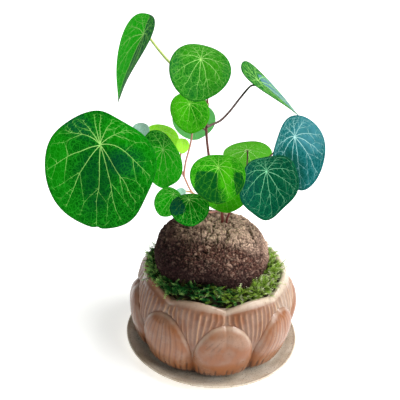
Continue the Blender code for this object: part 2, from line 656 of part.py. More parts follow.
def make_stem(name: str, foot: tuple, trunks: tuple, stalks: tuple, finish, parent):
    """A leafy stem: its trunks and the leaf stalks, fused into one body set on its foot."""
    pieces = []
    for k, (path, start_r, end_r) in enumerate(trunks):
        pieces.append(tube(f"{name}_trunk_{k}", path, start_r, end_r, STEM_SIDES,
                           TRUNK_SAMPLES))
    by_name = {leaf.name: leaf for leaf in LEAVES}
    for leaf_name, start, way in stalks:
        leaf = by_name[leaf_name]
        near = min(leaf.approach, NEAR_SHARE * leaf.length)
        path = (start, *way, leaf.under(near), leaf.under())
        pieces.append(tube(f"{name}_{leaf_name}", path, STALK_R, STALK_END_R, STALK_SIDES,
                           STALK_SAMPLES))
    made = fuse(name, pieces, finish)
    made.data.transform(Matrix.Translation([-value for value in metres(*foot)]))
    place(made, parent, *foot)


def main() -> None:
    """Clears the scene and makes every piece."""
    for old in list(bpy.data.objects):
        bpy.data.objects.remove(old, do_unlink=True)
    plant = bpy.data.objects.new("plant", None)
    bpy.context.scene.collection.objects.link(plant)
    stoneware = material("stoneware", (0.62, 0.55, 0.46), 0.5)
    clay = material("carved_clay", (0.48, 0.26, 0.14), 0.38)
    bark = material("bark", (0.20, 0.12, 0.08), 0.9)
    earth = material("earth", (0.06, 0.04, 0.025), 0.95)
    green = material("moss_green", (0.12, 0.28, 0.03), 0.9)
    red_stem = material("red_stem", (0.22, 0.06, 0.05), 0.5)
    place(make_saucer(stoneware), plant)
    place(make_pot(clay), plant, POT_X, POT_Y)
    place(make_soil(earth), plant, POT_X, POT_Y)
    place(make_moss(green), plant, POT_X, POT_Y)
    sockets = ((*MAIN_FOOT[:2], STEM_R + SOCKET_CLEAR), (*RIGHT_FOOT[:2], RIGHT_R + SOCKET_CLEAR))
    make_caudex(bark, plant, sockets)
    main_trunks = ((MAIN_STEM, STEM_R, STEM_END_R), (LEFT_BRANCH, BRANCH_R, BRANCH_END_R))
    make_stem("stem_main", MAIN_FOOT, main_trunks, MAIN_STALKS, red_stem, plant)
    right_trunks = ((RIGHT_STEM, RIGHT_R, BRANCH_R),)
    make_stem("stem_right", RIGHT_FOOT, right_trunks, RIGHT_STALKS, red_stem, plant)
    for leaf in LEAVES:
        make_leaf(leaf, plant)


main()
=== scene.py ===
"""Potted stephania: every visible surface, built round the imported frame.

Eighteen round leaves, each on its own stalk, grow from a corky caudex that sits in moss, in a
pot carved as two rows of petals, on a speckled saucer. Sizes are in millimetres and degrees,
and become metres where a mesh is made. The origin is the centre of the saucer's underside,
+Z is up and -Y is the front.
"""

import logging
import math
from dataclasses import dataclass, field
from enum import Enum

import bpy
import numpy as np
from mathutils import Matrix, Vector


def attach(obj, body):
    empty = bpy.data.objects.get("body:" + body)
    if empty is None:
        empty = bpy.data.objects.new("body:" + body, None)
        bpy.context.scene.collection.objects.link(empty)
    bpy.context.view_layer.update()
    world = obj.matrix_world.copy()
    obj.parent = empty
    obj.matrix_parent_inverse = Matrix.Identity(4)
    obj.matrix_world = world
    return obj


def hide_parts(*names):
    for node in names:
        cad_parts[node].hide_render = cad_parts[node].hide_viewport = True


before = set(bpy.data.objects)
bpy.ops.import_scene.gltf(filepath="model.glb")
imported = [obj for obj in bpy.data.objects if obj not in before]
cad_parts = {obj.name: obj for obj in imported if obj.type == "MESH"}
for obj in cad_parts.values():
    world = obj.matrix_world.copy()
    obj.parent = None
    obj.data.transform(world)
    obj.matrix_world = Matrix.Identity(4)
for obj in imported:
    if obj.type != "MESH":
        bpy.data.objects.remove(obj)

Array = np.ndarray
Finish = bpy.types.Material
Socket = bpy.types.NodeSocket
MM = 0.001
UP = np.array((0.0, 0.0, 1.0))
BODY = "root"
log = logging.getLogger("potted_stephania")


def tint(red: float, green: float, blue: float) -> tuple:
    """A linear colour from red, green and blue as a screen shows them.

    Args:
        red, green, blue: 0 to 255.

    Returns:
        Red, green, blue and an alpha of 1, each from 0 to 1.
    """
    share = np.array((red, green, blue)) / 255.0
    linear = np.where(share <= 0.04045, share / 12.92, ((share + 0.055) / 1.055) ** 2.4)
    return (*linear.tolist(), 1.0)


def ease(value: Array) -> Array:
    """0 below 0, 1 above 1, and the cubic 3t^2 - 2t^3 between."""
    value = np.clip(value, 0.0, 1.0)
    return value * value * (3.0 - 2.0 * value)


def bell(value: Array, width: float) -> Array:
    """1 at 0 and falling to both sides: e to the power of minus (value / width) squared."""
    return np.exp(-(value / width) ** 2)


def unit(vectors: Array) -> Array:
    """The vectors, each divided by its length."""
    return vectors / np.linalg.norm(vectors, axis=-1, keepdims=True)


def spline(points: tuple, samples: int) -> Array:
    """A smooth curve through the points, the Catmull-Rom cubic on each span.

    Args:
        points: the points to pass, of any dimension.
        samples: points on each span.

    Returns:
        The curve's points, one row each, the last of the points included.
    """
    points = np.asarray(points, float)
    padded = np.vstack([2 * points[0] - points[1], points, 2 * points[-1] - points[-2]])
    t = np.linspace(0.0, 1.0, samples, endpoint=False)[None, :, None]
    a, b, c, d = (padded[k:len(points) - 1 + k, None] for k in range(4))
    spans = 0.5 * (2 * b + (c - a) * t + (2 * a - 5 * b + 4 * c - d) * t ** 2
                   + (3 * b - a - 3 * c + d) * t ** 3)
    return np.vstack([spans.reshape(-1, points.shape[1]), points[-1:]])


def lattice_value(cells: Array, seed: int) -> Array:
    """A fixed uneven number for each whole-number cell.

    Formula: the cell's three numbers times large odd numbers are added, and the sum's bits are
    mixed twice by a shift, an exclusive or and a product.

    Args:
        cells: whole numbers, three to a cell.
        seed: which of many such patterns.

    Returns:
        Numbers from 0 to 1, one to a cell.
    """
    low_bits = 0xFFFFFFFF
    mixed = cells @ np.array((374761393, 668265263, 1442695041)) + seed * 974634777
    mixed = (((mixed & low_bits) ^ ((mixed & low_bits) >> 13)) * 1274126177) & low_bits
    mixed = ((mixed ^ (mixed >> 16)) * 668265263) & low_bits
    return ((mixed ^ (mixed >> 15)) & 0xFFFFFF) / 0xFFFFFF


def slow_noise(points: Array, size: float, seed: int) -> Array:
    """Slow uneven values: those of the lattice, blended by a smooth step across each cell.

    Args:
        points: where to look, three numbers each.
        size: the cells' size.
        seed: which of many such patterns.

    Returns:
        Values from -1 to 1, one to a point.
    """
    base = np.floor(points / size).astype(np.int64)
    t = ease(points / size - base)
    total = np.zeros(points.shape[:-1])
    for corner in np.ndindex(2, 2, 2):
        weight = np.prod(np.where(corner, t, 1.0 - t), axis=-1)
        total += weight * lattice_value(base + corner, seed)
    return 2.0 * total - 1.0


def lumps(points: Array, layers: tuple) -> Array:
    """The sum of slow noises, each given as its height, its size and its seed."""
    return sum(height * slow_noise(points, size, seed) for height, size, seed in layers)


def plates(points: Array, size: float, seed: int) -> tuple:
    """Uneven plates round scattered centres, one in each lattice cell.

    Formula: F1 and F2 are the distances to the nearest and second nearest centre, so F2 - F1
    is 0 on the crack between two plates and grows towards a plate's middle.

    Args:
        points: where to look, three numbers each.
        size: mean distance between centres.
        seed: which of many such patterns.

    Returns:
        F2 - F1 in shares of size, and a number from 0 to 1 for the plate.
    """
    scaled = points / size
    base = np.floor(scaled).astype(np.int64)
    first = np.full(points.shape[:-1], 9.0)
    second = first.copy()
    plate = np.zeros_like(first)
    for step in np.ndindex(3, 3, 3):
        cell = base + np.array(step) - 1
        centre = cell + np.stack([lattice_value(cell, seed + k) for k in range(3)], axis=-1)
        distance = np.linalg.norm(scaled - centre, axis=-1)
        nearer = distance < first
        second = np.where(nearer, first, np.minimum(second, distance))
        plate = np.where(nearer, lattice_value(cell, seed + 3), plate)
        first = np.where(nearer, distance, first)
    return second - first, plate


@dataclass
class Surface:
    """Points in millimetres, faces as point numbers, and named values at the points."""

    points: Array
    faces: list
    fields: dict = field(default_factory=dict)

    @staticmethod
    def joined(parts: list) -> "Surface":
        """All the parts as one surface.

        Args:
            parts: surfaces that hold the same fields.

        Returns:
            The surface, with the parts' points and faces in order.
        """
        firsts = np.cumsum([0] + [len(part.points) for part in parts[:-1]])
        faces = [some + first for part, first in zip(parts, firsts) for some in part.faces]
        fields = {name: np.concatenate([part.fields[name] for part in parts])
                  for name in parts[0].fields}
        return Surface(np.vstack([part.points for part in parts]), faces, fields)

    def piece(self, name: str, finish: Finish, slot: str, *nodes: str) -> None:
        """Makes the mesh object, rides it on the part and hides the frame's nodes that it
        replaces.

        A field with two values to a point becomes the UV map, one with four a colour, and any
        other a number.

        Args:
            name: the piece's name.
            finish: its material.
            slot: the record's material slot; not used.
            nodes: the nodes of the frame that it replaces.
        """
        mesh = bpy.data.meshes.new(name)
        faces = [face for some in self.faces for face in some.tolist()]
        mesh.from_pydata((self.points * MM).tolist(), [], faces)
        corners = np.empty(len(mesh.loops), np.int32)
        mesh.loops.foreach_get("vertex_index", corners)
        for label, values in self.fields.items():
            values = np.asarray(values, np.float32)
            if values.shape[1:] == (2,):
                flat = mesh.uv_layers.new(name=label)
                flat.uv.foreach_set("vector", values[corners].ravel())
            else:
                kind, part = ("FLOAT", "value") if values.ndim == 1 else ("FLOAT_COLOR", "color")
                held = mesh.attributes.new(label, kind, "POINT")
                held.data.foreach_set(part, values.ravel())
        mesh.materials.append(finish)
        mesh.shade_smooth()
        made = bpy.data.objects.new(name, mesh)
        bpy.context.scene.collection.objects.link(made)
        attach(made, BODY)
        if nodes:
            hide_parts(*nodes)
        triangles = len(mesh.loops) - 2 * len(mesh.polygons)
        log.info("%s: %d points, %d triangles", name, len(self.points), triangles)


def skin(rows: Array, ring: bool = False, **fields: Array) -> Surface:
    """A closed surface on a grid of rows, each of which closes on itself.

    Args:
        rows: points, by row and column; rows rise as columns run anticlockwise from above.
        ring: whether the last row is joined to the first. Otherwise a fan to its own middle
            closes each of the two.
        fields: values for each point of the grid.

    Returns:
        The surface, its points row by row, and then those of the fans.
    """
    count, columns = rows.shape[:2]
    here = np.arange(count * columns).reshape(count, columns)
    there = np.roll(here, -1, axis=1)
    after = np.roll(here, -1, axis=0)
    after_there = np.roll(there, -1, axis=0)
    quads = np.stack([here, there, after_there, after], axis=-1)
    faces = [(quads if ring else quads[:-1]).reshape(-1, 4)]
    points = [rows.reshape(-1, 3)]
    values = {name: [value.reshape(count * columns, -1)] for name, value in fields.items()}
    for number, row in enumerate(() if ring else (0, count - 1), count * columns):
        first, second = (there[row], here[row]) if row == 0 else (here[row], there[row])
        faces.append(np.stack([np.full(columns, number), first, second], axis=-1))
        points.append(rows[row].mean(axis=0, keepdims=True))
        for name, value in fields.items():
            values[name].append(value[row].reshape(columns, -1).mean(axis=0, keepdims=True))
    flat = {name: np.vstack(value) for name, value in values.items()}
    flat = {name: value[:, 0] if value.shape[1] == 1 else value for name, value in flat.items()}
    return Surface(np.vstack(points), faces, flat)


def tube(line: Array, radius: Array, sides: int, **fields: Array) -> Surface:
    """A circle carried along a path, square to it, as a closed surface.

    Args:
        line: the path's points.
        radius: the circle's radius at each of them.
        sides: points on the circle.
        fields: values for each point of the path.

    Returns:
        The tube, with each field spread round it.
    """
    along = unit(np.gradient(line, axis=0))
    seed = np.array([0.3, -1.0, 0.1])
    side = unit(seed - along * (along @ seed)[:, None])
    other = np.cross(along, side)
    turn = around(sides)
    round_it = (np.cos(turn)[None, :, None] * side[:, None]
                + np.sin(turn)[None, :, None] * other[:, None])
    rows = line[:, None] + np.asarray(radius)[:, None, None] * round_it
    spread = {name: np.repeat(value[:, None], sides, axis=1) for name, value in fields.items()}
    return skin(rows, **spread)


def turned(angle: Array, radius: Array, z: Array, x: float = 0.0, y: float = 0.0) -> Array:
    """Points at a radius and height about an upright axis, the angle from -Y towards +X."""
    angle, radius, z = np.broadcast_arrays(angle, radius, z)
    return np.stack([x + radius * np.sin(angle), y - radius * np.cos(angle), z], axis=-1)


def around(columns: int) -> Array:
    """Even angles once round, in radians."""
    return np.linspace(0.0, 2.0 * math.pi, columns, endpoint=False)


def wrapped(angle: Array) -> Array:
    """Angles brought to between minus pi and pi."""
    return np.angle(np.exp(1j * angle))


class Paint:
    """The nodes of one material, each added and linked in one call."""

    def __init__(self, name: str, ground: tuple = ()) -> None:
        """Starts a material with its one Principled shader.

        Args:
            name: the material's name.
            ground: the colour under all that are laid over it.
        """
        self.material = bpy.data.materials.new(name)
        self.material.use_nodes = True
        self.tree = self.material.node_tree
        self.shader = self.tree.nodes["Principled BSDF"]
        self.colour = ground

    def feed(self, socket: Socket, value: object) -> None:
        """Links an output to a socket, or sets the socket's own value.

        Args:
            socket: an input of a node.
            value: an output of another node, or a plain value.
        """
        if isinstance(value, Socket):
            self.tree.links.new(value, socket)
        else:
            socket.default_value = value

    def add(self, kind: str, inputs: dict, **settings: object) -> bpy.types.Node:
        """Adds a node.

        Args:
            kind: Blender's name for the node's type.
            inputs: a value or an output for each named or numbered input.
            settings: the node's own settings.

        Returns:
            The node.
        """
        node = self.tree.nodes.new(kind)
        for name, value in settings.items():
            setattr(node, name, value)
        for name, value in inputs.items():
            self.feed(node.inputs[name], value)
        return node

    def field(self, name: str) -> Socket:
        """The values of one of the surface's fields."""
        return self.add("ShaderNodeAttribute", {}, attribute_name=name).outputs["Fac"]

    def place(self) -> Socket:
        """The place on the object, in metres."""
        return self.add("ShaderNodeTexCoord", {}).outputs["Object"]

    def flat_place(self) -> Socket:
        """The place on the piece's own flat map, in millimetres."""
        return self.add("ShaderNodeUVMap", {}, uv_map="flat").outputs["UV"]

    def scaled(self, vector: Socket, scale: tuple) -> Socket:
        """A place with each of its three numbers multiplied."""
        return self.add("ShaderNodeMapping", {"Vector": vector, "Scale": scale}).outputs[0]

    def maths(self, operation: str, first: object, second: object, clamp: bool = False) -> Socket:
        """One sum on two numbers, by Blender's name for it."""
        return self.add("ShaderNodeMath", {0: first, 1: second}, operation=operation,
                        use_clamp=clamp).outputs[0]

    def over(self, colour: tuple, share: object) -> None:
        """Lays a colour over those before it, as thickly as its share from 0 to 1 says."""
        mixed = self.add("ShaderNodeMix", {0: share, 6: self.colour, 7: colour},
                         data_type="RGBA")
        self.colour = mixed.outputs[2]

    def between(self, value: Socket, low: float, high: float,
                start: float = 0.0, end: float = 1.0) -> Socket:
        """A smooth run from start to end as the value goes from low to high."""
        inputs = {"Value": value, "From Min": low, "From Max": high, "To Min": start,
                  "To Max": end}
        return self.add("ShaderNodeMapRange", inputs, interpolation_type="SMOOTHSTEP").outputs[0]

    def noise(self, vector: Socket, size: float, detail: float = 3.0, per: float = MM) -> Socket:
        """Cloudy values about 0.5, in lumps of a size; per is a millimetre in the place."""
        inputs = {"Vector": vector, "Scale": 1.0 / (size * per), "Detail": detail}
        return self.add("ShaderNodeTexNoise", inputs).outputs[0]

    def cells(self, vector: Socket, size: float, edges: bool = False, per: float = MM) -> Socket:
        """Distances in scattered cells, from each cell's centre or from its edges."""
        node = self.add("ShaderNodeTexVoronoi", {"Vector": vector, "Scale": 1.0 / (size * per)},
                        feature="DISTANCE_TO_EDGE" if edges else "F1")
        return node.outputs["Distance"]

    def bump(self, height: Socket, depth: float, strength: float) -> Socket:
        """A normal that follows a height, with a depth in millimetres for a height of 1."""
        inputs = {"Height": height, "Distance": depth * MM, "Strength": strength}
        return self.add("ShaderNodeBump", inputs).outputs[0]

    def dress(self, **sockets: object) -> Finish:
        """Gives the material its look.

        Args:
            sockets: values for the shader's sockets, named with _ for a space.

        Returns:
            The material, with all the colours laid so far as its base colour.
        """
        for name, value in {"Base_Color": self.colour, **sockets}.items():
            self.feed(self.shader.inputs[name.replace("_", " ")], value)
        return self.material


@dataclass(frozen=True)
class SpeckledStoneware:
    """Satin beige stoneware with iron specks, thrown and hardly glazed."""

    body: tuple = tint(198, 184, 163)
    light: tuple = tint(221, 212, 196)
    dark: tuple = tint(160, 141, 117)
    speck: tuple = tint(92, 72, 54)

    def material(self) -> Finish:
        """The stoneware's material.

        Returns:
            Clouds of light and dark clay, with fine and coarse specks.
        """
        paint = Paint("speckled_stoneware", self.body)
        place = paint.place()
        cloud = paint.noise(place, 14.0)
        grain = paint.noise(place, 0.9, 4.0)
        paint.over(self.light, paint.between(cloud, 0.35, 0.7))
        paint.over(self.dark, paint.between(grain, 0.5, 0.75, 0.0, 0.55))
        fine = paint.between(paint.cells(place, 1.7), 0.12, 0.26, 0.75, 0.0)
        coarse = paint.between(paint.cells(place, 4.3), 0.06, 0.13, 0.9, 0.0)
        paint.over(self.speck, fine)
        paint.over(self.speck, coarse)
        wear = paint.between(grain, 0.3, 0.7, 0.38, 0.6)
        return paint.dress(Roughness=wear, Normal=paint.bump(grain, 0.12, 0.6))


@dataclass(frozen=True)
class CarvedGlaze:
    """Satin glaze that broke pale over the ridges and pooled brown in the carving, with painted
    light on the right and painted shade at the foot and on the left.
    """

    brown: tuple = tint(122, 76, 50)
    orange: tuple = tint(142, 85, 46)
    # cream is the pale glaze and also the painted light and highlights; cut is the colour pooled
    # in the carving and also the painted shade
    cream: tuple = tint(198, 181, 162)
    ridge: tuple = tint(206, 160, 122)
    cut: tuple = tint(58, 32, 20)
    speck: tuple = tint(70, 50, 38)

    def material(self) -> Finish:
        """The glaze's material.

        Returns:
            Brown to orange by the field warm, cream by pale, which also holds painted light and
            highlights, lighter on each ridge, and dark by carved, which holds the carving and
            painted shade, with clouds, streaks and iron specks.
        """
        paint = Paint("carved_glaze", self.brown)
        place = paint.place()
        cloud = paint.noise(place, 11.0, 4.0)
        streak = paint.noise(paint.scaled(place, (1.0, 1.0, 0.25)), 2.4, 4.0)
        paint.over(self.orange, paint.maths("ADD", paint.field("warm"),
                                            paint.between(cloud, 0.35, 0.7, -0.25, 0.35), True))
        # the pale glaze, and the painted light and highlights
        paint.over(self.cream, paint.maths("ADD", paint.field("pale"),
                                           paint.between(cloud, 0.35, 0.7, 0.1, -0.1), True))
        paint.over(self.cut, paint.between(streak, 0.45, 0.75, 0.0, 0.16))
        paint.over(self.ridge, paint.field("ridge"))
        # the carving, and the painted shade at the foot, round the lower petals, in the channels
        # and on the left
        paint.over(self.cut, paint.field("carved"))
        paint.over(self.speck, paint.between(paint.cells(place, 3.4), 0.05, 0.12, 0.7, 0.0))
        gloss = paint.between(cloud, 0.3, 0.7, 0.26, 0.4)
        return paint.dress(Roughness=gloss, Coat_Weight=0.35, Coat_Roughness=0.2,
                           Specular_IOR_Level=0.25, Normal=paint.bump(streak, 0.1, 0.5))


@dataclass(frozen=True)
class CorkBark:
    """Corky bark, split into a fine net of plates, paler on top and purplish below, partly its own
    colour and partly painted light and shade.
    """

    plate: tuple = tint(116, 78, 66)
    # the pale colour is the bark's own and also painted light; the purplish one is its own and
    # also painted shade
    tan: tuple = tint(255, 216, 190)
    purple: tuple = tint(46, 24, 32)
    crack: tuple = tint(24, 12, 14)

    def material(self) -> Finish:
        """The bark's material.

        Returns:
            Plate colours by a pale field, which is partly painted light, and a purplish field,
            which is partly painted shade; dark cracks, and painted shade, by the field crack; and
            a finer net between them.
        """
        paint = Paint("cork_bark", self.plate)
        place = paint.place()
        fleck = paint.noise(place, 1.3, 5.0)
        cloud = paint.noise(place, 12.0)
        paint.over(self.tan, paint.field("tan"))
        paint.over(self.tan, paint.between(fleck, 0.5, 0.7, 0.0, 0.3))
        paint.over(self.purple, paint.field("purple"))
        paint.over(self.purple, paint.between(cloud, 0.4, 0.7, 0.0, 0.25))
        paint.over(self.crack, paint.between(fleck, 0.3, 0.5, 0.4, 0.0))
        net = paint.between(paint.cells(place, 1.5, True), 0.0, 0.1, 0.35, 0.0)
        paint.over(self.crack, net)
        paint.over(self.crack, paint.field("crack"))
        rough = paint.between(fleck, 0.3, 0.7, 0.78, 0.95)
        relief = paint.maths("SUBTRACT", fleck, net)
        return paint.dress(Roughness=rough, Specular_IOR_Level=0.1,
                           Normal=paint.bump(relief, 1.3, 1.0))


@dataclass(frozen=True)
class PottingSoil:
    """Dark crumbly potting soil."""

    crumb: tuple = tint(62, 46, 36)
    pit: tuple = tint(24, 17, 13)

    def material(self) -> Finish:
        """The soil's material.

        Returns:
            Crumbs by cells, with dark pits between them.
        """
        paint = Paint("potting_soil", self.crumb)
        place = paint.place()
        crumb = paint.cells(place, 1.8)
        paint.over(self.pit, paint.between(crumb, 0.2, 0.6))
        damp = paint.between(paint.noise(place, 6.0), 0.3, 0.7, 0.8, 0.98)
        return paint.dress(Roughness=damp, Normal=paint.bump(crumb, -0.8, 0.7))


@dataclass(frozen=True)
class MossGreen:
    """Feathery moss: dark at the foot of a frond, partly its own colour and partly painted shade,
    and lighter to its tip; one copy is painted lighter as sunlight and one darker as shade.
    """

    name: str
    foot: tuple
    body: tuple
    tip: tuple
    dead: tuple = tint(96, 74, 40)

    def material(self) -> Finish:
        """The moss's material.

        Returns:
            Foot to tip by the field height, which also carries painted light and shade, with some
            fronds gone brown by the field dry.
        """
        paint = Paint(self.name, self.foot)
        height = paint.field("height")
        fleck = paint.noise(paint.place(), 1.1, 3.0)
        paint.over(self.body, paint.between(height, 0.1, 0.6))
        paint.over(self.tip, paint.between(height, 0.45, 1.0))
        paint.over(self.dead, paint.field("dry"))
        paint.over(self.foot, paint.between(fleck, 0.4, 0.7, 0.25, 0.0))
        rough = paint.between(fleck, 0.3, 0.7, 0.5, 0.7)
        return paint.dress(Roughness=rough, Specular_IOR_Level=0.15)


@dataclass(frozen=True)
class StemSkin:
    """The satin skin of stems and stalks, in the colours held by the field skin."""

    streak: tuple = tint(52, 26, 24)

    def material(self) -> Finish:
        """The skin's material.

        Returns:
            The field's colour, with darker streaks along the stem and a fine grain.
        """
        paint = Paint("stem_skin")
        paint.colour = paint.add("ShaderNodeAttribute", {}, attribute_name="skin").outputs["Color"]
        streak = paint.noise(paint.scaled(paint.place(), (1.0, 1.0, 0.15)), 0.7, 4.0)
        paint.over(self.streak, paint.between(streak, 0.45, 0.7, 0.0, 0.35))
        rough = paint.between(streak, 0.3, 0.7, 0.38, 0.55)
        return paint.dress(Roughness=rough, Normal=paint.bump(streak, 0.08, 0.5))


@dataclass(frozen=True)
class LeafSkin:
    """A living blade: its greens from painted shade to painted light, its painted reflections, its
    veins, rim and underside.
    """

    name: str
    slot: str
    # shade and light are the ends of the painted light and shade on the blade, and the bluish
    # colour after light is a painted reflection
    shade: tuple
    body: tuple
    light: tuple
    painted_sheen: tuple
    net: tuple
    vein: tuple
    under: tuple
    rim: tuple = tint(30, 80, 30)
    rib: tuple = tint(230, 252, 190)  # of the main veins seen from below
    # a painted reflection of the sky
    sky: tuple = tint(86, 120, 152)  # where the blade mirrors the sky
    rough: float = 0.42

    def blade(self) -> Finish:
        """The blade's material.

        Returns:
            Greens by the field tone, which is painted light and shade, bluer by the field blue,
            which is a painted reflection, lighter beside each vein by the field near, with a net
            of the finest veins drawn on the blade's own flat map.
        """
        paint = Paint(f"{self.name}_blade", self.shade)
        flat = paint.flat_place()
        cloud = paint.noise(flat, 7.0, 3.0, 1.0)
        fleck = paint.noise(flat, 1.5, 3.0, 1.0)
        tone = paint.maths("ADD", paint.field("tone"),
                           paint.between(cloud, 0.3, 0.7, -0.1, 0.1))
        paint.over(self.body, paint.between(tone, -0.9, 0.0))
        paint.over(self.light, paint.between(tone, 0.0, 0.9))
        blue = paint.field("blue")
        paint.over(self.painted_sheen, blue)
        paint.over(self.sky, paint.between(blue, 1.0, 2.0))
        wide = paint.between(paint.cells(flat, 4.4, True, 1.0), 0.0, 0.05, 0.75, 0.0)
        fine = paint.between(paint.cells(flat, 2.0, True, 1.0), 0.0, 0.09, 0.55, 0.0)
        net = paint.maths("MAXIMUM", wide, fine)
        # the net of fine veins fades in the painted shade and in the painted sky reflection
        net = paint.maths("MULTIPLY", net, paint.between(tone, -1.0, 0.0, 0.12, 1.0))
        net = paint.maths("MULTIPLY", net, paint.between(blue, 1.0, 2.0, 1.0, 0.3))
        paint.over(self.net, net)
        near = paint.maths("MULTIPLY", paint.field("near"),
                           paint.between(tone, -1.0, 0.0, 0.05, 0.12))
        paint.over(self.net, near)
        paint.over(self.under, paint.maths("MULTIPLY", paint.field("under"), 0.85))
        paint.over(self.rim, paint.between(paint.field("reach"), 0.975, 0.998, 0.0, 0.45))
        rough = paint.between(fleck, 0.3, 0.7, self.rough - 0.06, self.rough + 0.1)
        relief = paint.maths("SUBTRACT", fleck, net)
        return paint.dress(Roughness=rough, Specular_IOR_Level=0.015,
                           Normal=paint.bump(relief, 0.1, 0.5))

    def veins(self) -> Finish:
        """The veins' material.

        Returns:
            Pale at the navel, greener far out and in the blade's painted shade, and palest on the
            main veins seen from below.
        """
        paint = Paint(f"{self.name}_veins", self.vein)
        fleck = paint.noise(paint.place(), 0.8, 2.0)
        paint.over(self.net, paint.field("fade"))
        paint.over(self.body, paint.between(fleck, 0.4, 0.7, 0.0, 0.2))
        # the veins darken in the blade's painted shade
        paint.over(self.body, paint.between(paint.field("tone"), -1.1, -0.3, 0.75, 0.0))
        bold = paint.between(paint.field("fade"), 0.0, 0.7, 0.95, 0.1)
        paint.over(self.rib, paint.maths("MULTIPLY", paint.field("under"), bold))
        rough = paint.between(fleck, 0.3, 0.7, 0.4, 0.52)
        return paint.dress(Roughness=rough, Specular_IOR_Level=0.05)


def leaf_skin(name: str, slot: str, *colours: tuple, **others: tuple) -> LeafSkin:
    """A leaf skin from its colours as a screen shows them, in order or by name."""
    named = {label: tint(*colour) for label, colour in others.items()}
    return LeafSkin(name, slot, *(tint(*colour) for colour in colours), **named)


class Tone(Enum):
    """The eight greens that the plant's leaves come in."""

    DEEP = leaf_skin("deep", "leaf_deep", (0, 62, 26), (0, 90, 6), (6, 126, 2), (4, 70, 60),
                     (38, 168, 36), (176, 240, 128), (60, 132, 60))
    MID = leaf_skin("mid", "leaf_mid", (0, 60, 34), (4, 110, 8), (14, 180, 6), (10, 96, 74),
                    (84, 210, 60), (180, 242, 134), (52, 134, 48))
    FRESH = leaf_skin("fresh", "leaf_mid", (8, 80, 34), (22, 108, 18), (50, 140, 12),
                      (26, 100, 58), (78, 162, 50), (176, 232, 128), (60, 140, 50),
                      sky=(82, 120, 134))
    LIME = leaf_skin("lime", "leaf_lime", (0, 74, 24), (22, 126, 6), (72, 190, 2),
                     (70, 150, 80), (80, 184, 34), (164, 228, 104), (84, 182, 32),
                     (80, 130, 24))
    SPRING = leaf_skin("spring", "leaf_lime", (70, 170, 20), (126, 220, 38), (180, 250, 66),
                       (120, 200, 90), (170, 242, 80), (210, 248, 150), (150, 226, 60),
                       (90, 150, 30))
    TEAL = leaf_skin("teal", "leaf_teal", (0, 44, 38), (0, 62, 42), (10, 98, 46), (2, 66, 66),
                     (16, 104, 66), (136, 214, 164), (112, 204, 112))
    BLUE = leaf_skin("blue", "leaf_blue", (0, 60, 48), (2, 78, 78), (72, 138, 152),
                     (110, 168, 186), (50, 124, 124), (180, 228, 222), (90, 150, 110),
                     (40, 86, 96))
    PALE = leaf_skin("pale", "leaf_pale", (120, 180, 160), (158, 202, 186), (190, 224, 210),
                     (190, 220, 220), (195, 228, 214), (215, 240, 228), (150, 200, 160),
                     (140, 190, 160))


@dataclass
class Saucer:
    """The round speckled saucer, thrown on a wheel."""

    outline: tuple = ((3.0, 0.0), (26.0, 0.0), (48.5, 0.0), (51.5, 0.3), (54.0, 1.1),
                      (61.5, 3.6), (67.6, 5.8), (69.5, 6.9), (69.9, 7.7), (69.4, 8.3),
                      (68.6, 8.3), (67.6, 7.7), (64.0, 6.3), (60.0, 4.4), (56.5, 3.2),
                      (52.0, 3.0), (30.0, 3.0), (3.0, 3.0))
    columns: int = 256
    samples: int = 4
    wobble: float = 0.12
    wobble_r: float = 52.0  # radius at which the wobble begins
    wobble_growth: float = 8.0  # distance over which it grows
    wobble_size: float = 24.0

    def surface(self) -> Surface:
        """The saucer.

        Returns:
            The outline turned about the upright axis, with a slight hand-made wobble.
        """
        profile = spline(self.outline, self.samples)
        rows = turned(around(self.columns)[None], profile[:, :1], np.maximum(profile[:, 1:], 0.0))
        lift = ease((profile[:, :1] - self.wobble_r) / self.wobble_growth) * self.wobble
        rows[..., 2] += lift * slow_noise(rows, self.wobble_size, 5)
        return skin(rows)

    def build(self) -> None:
        """Makes the saucer."""
        self.surface().piece("saucer_glazed", SpeckledStoneware().material(), "stoneware",
                             "saucer")


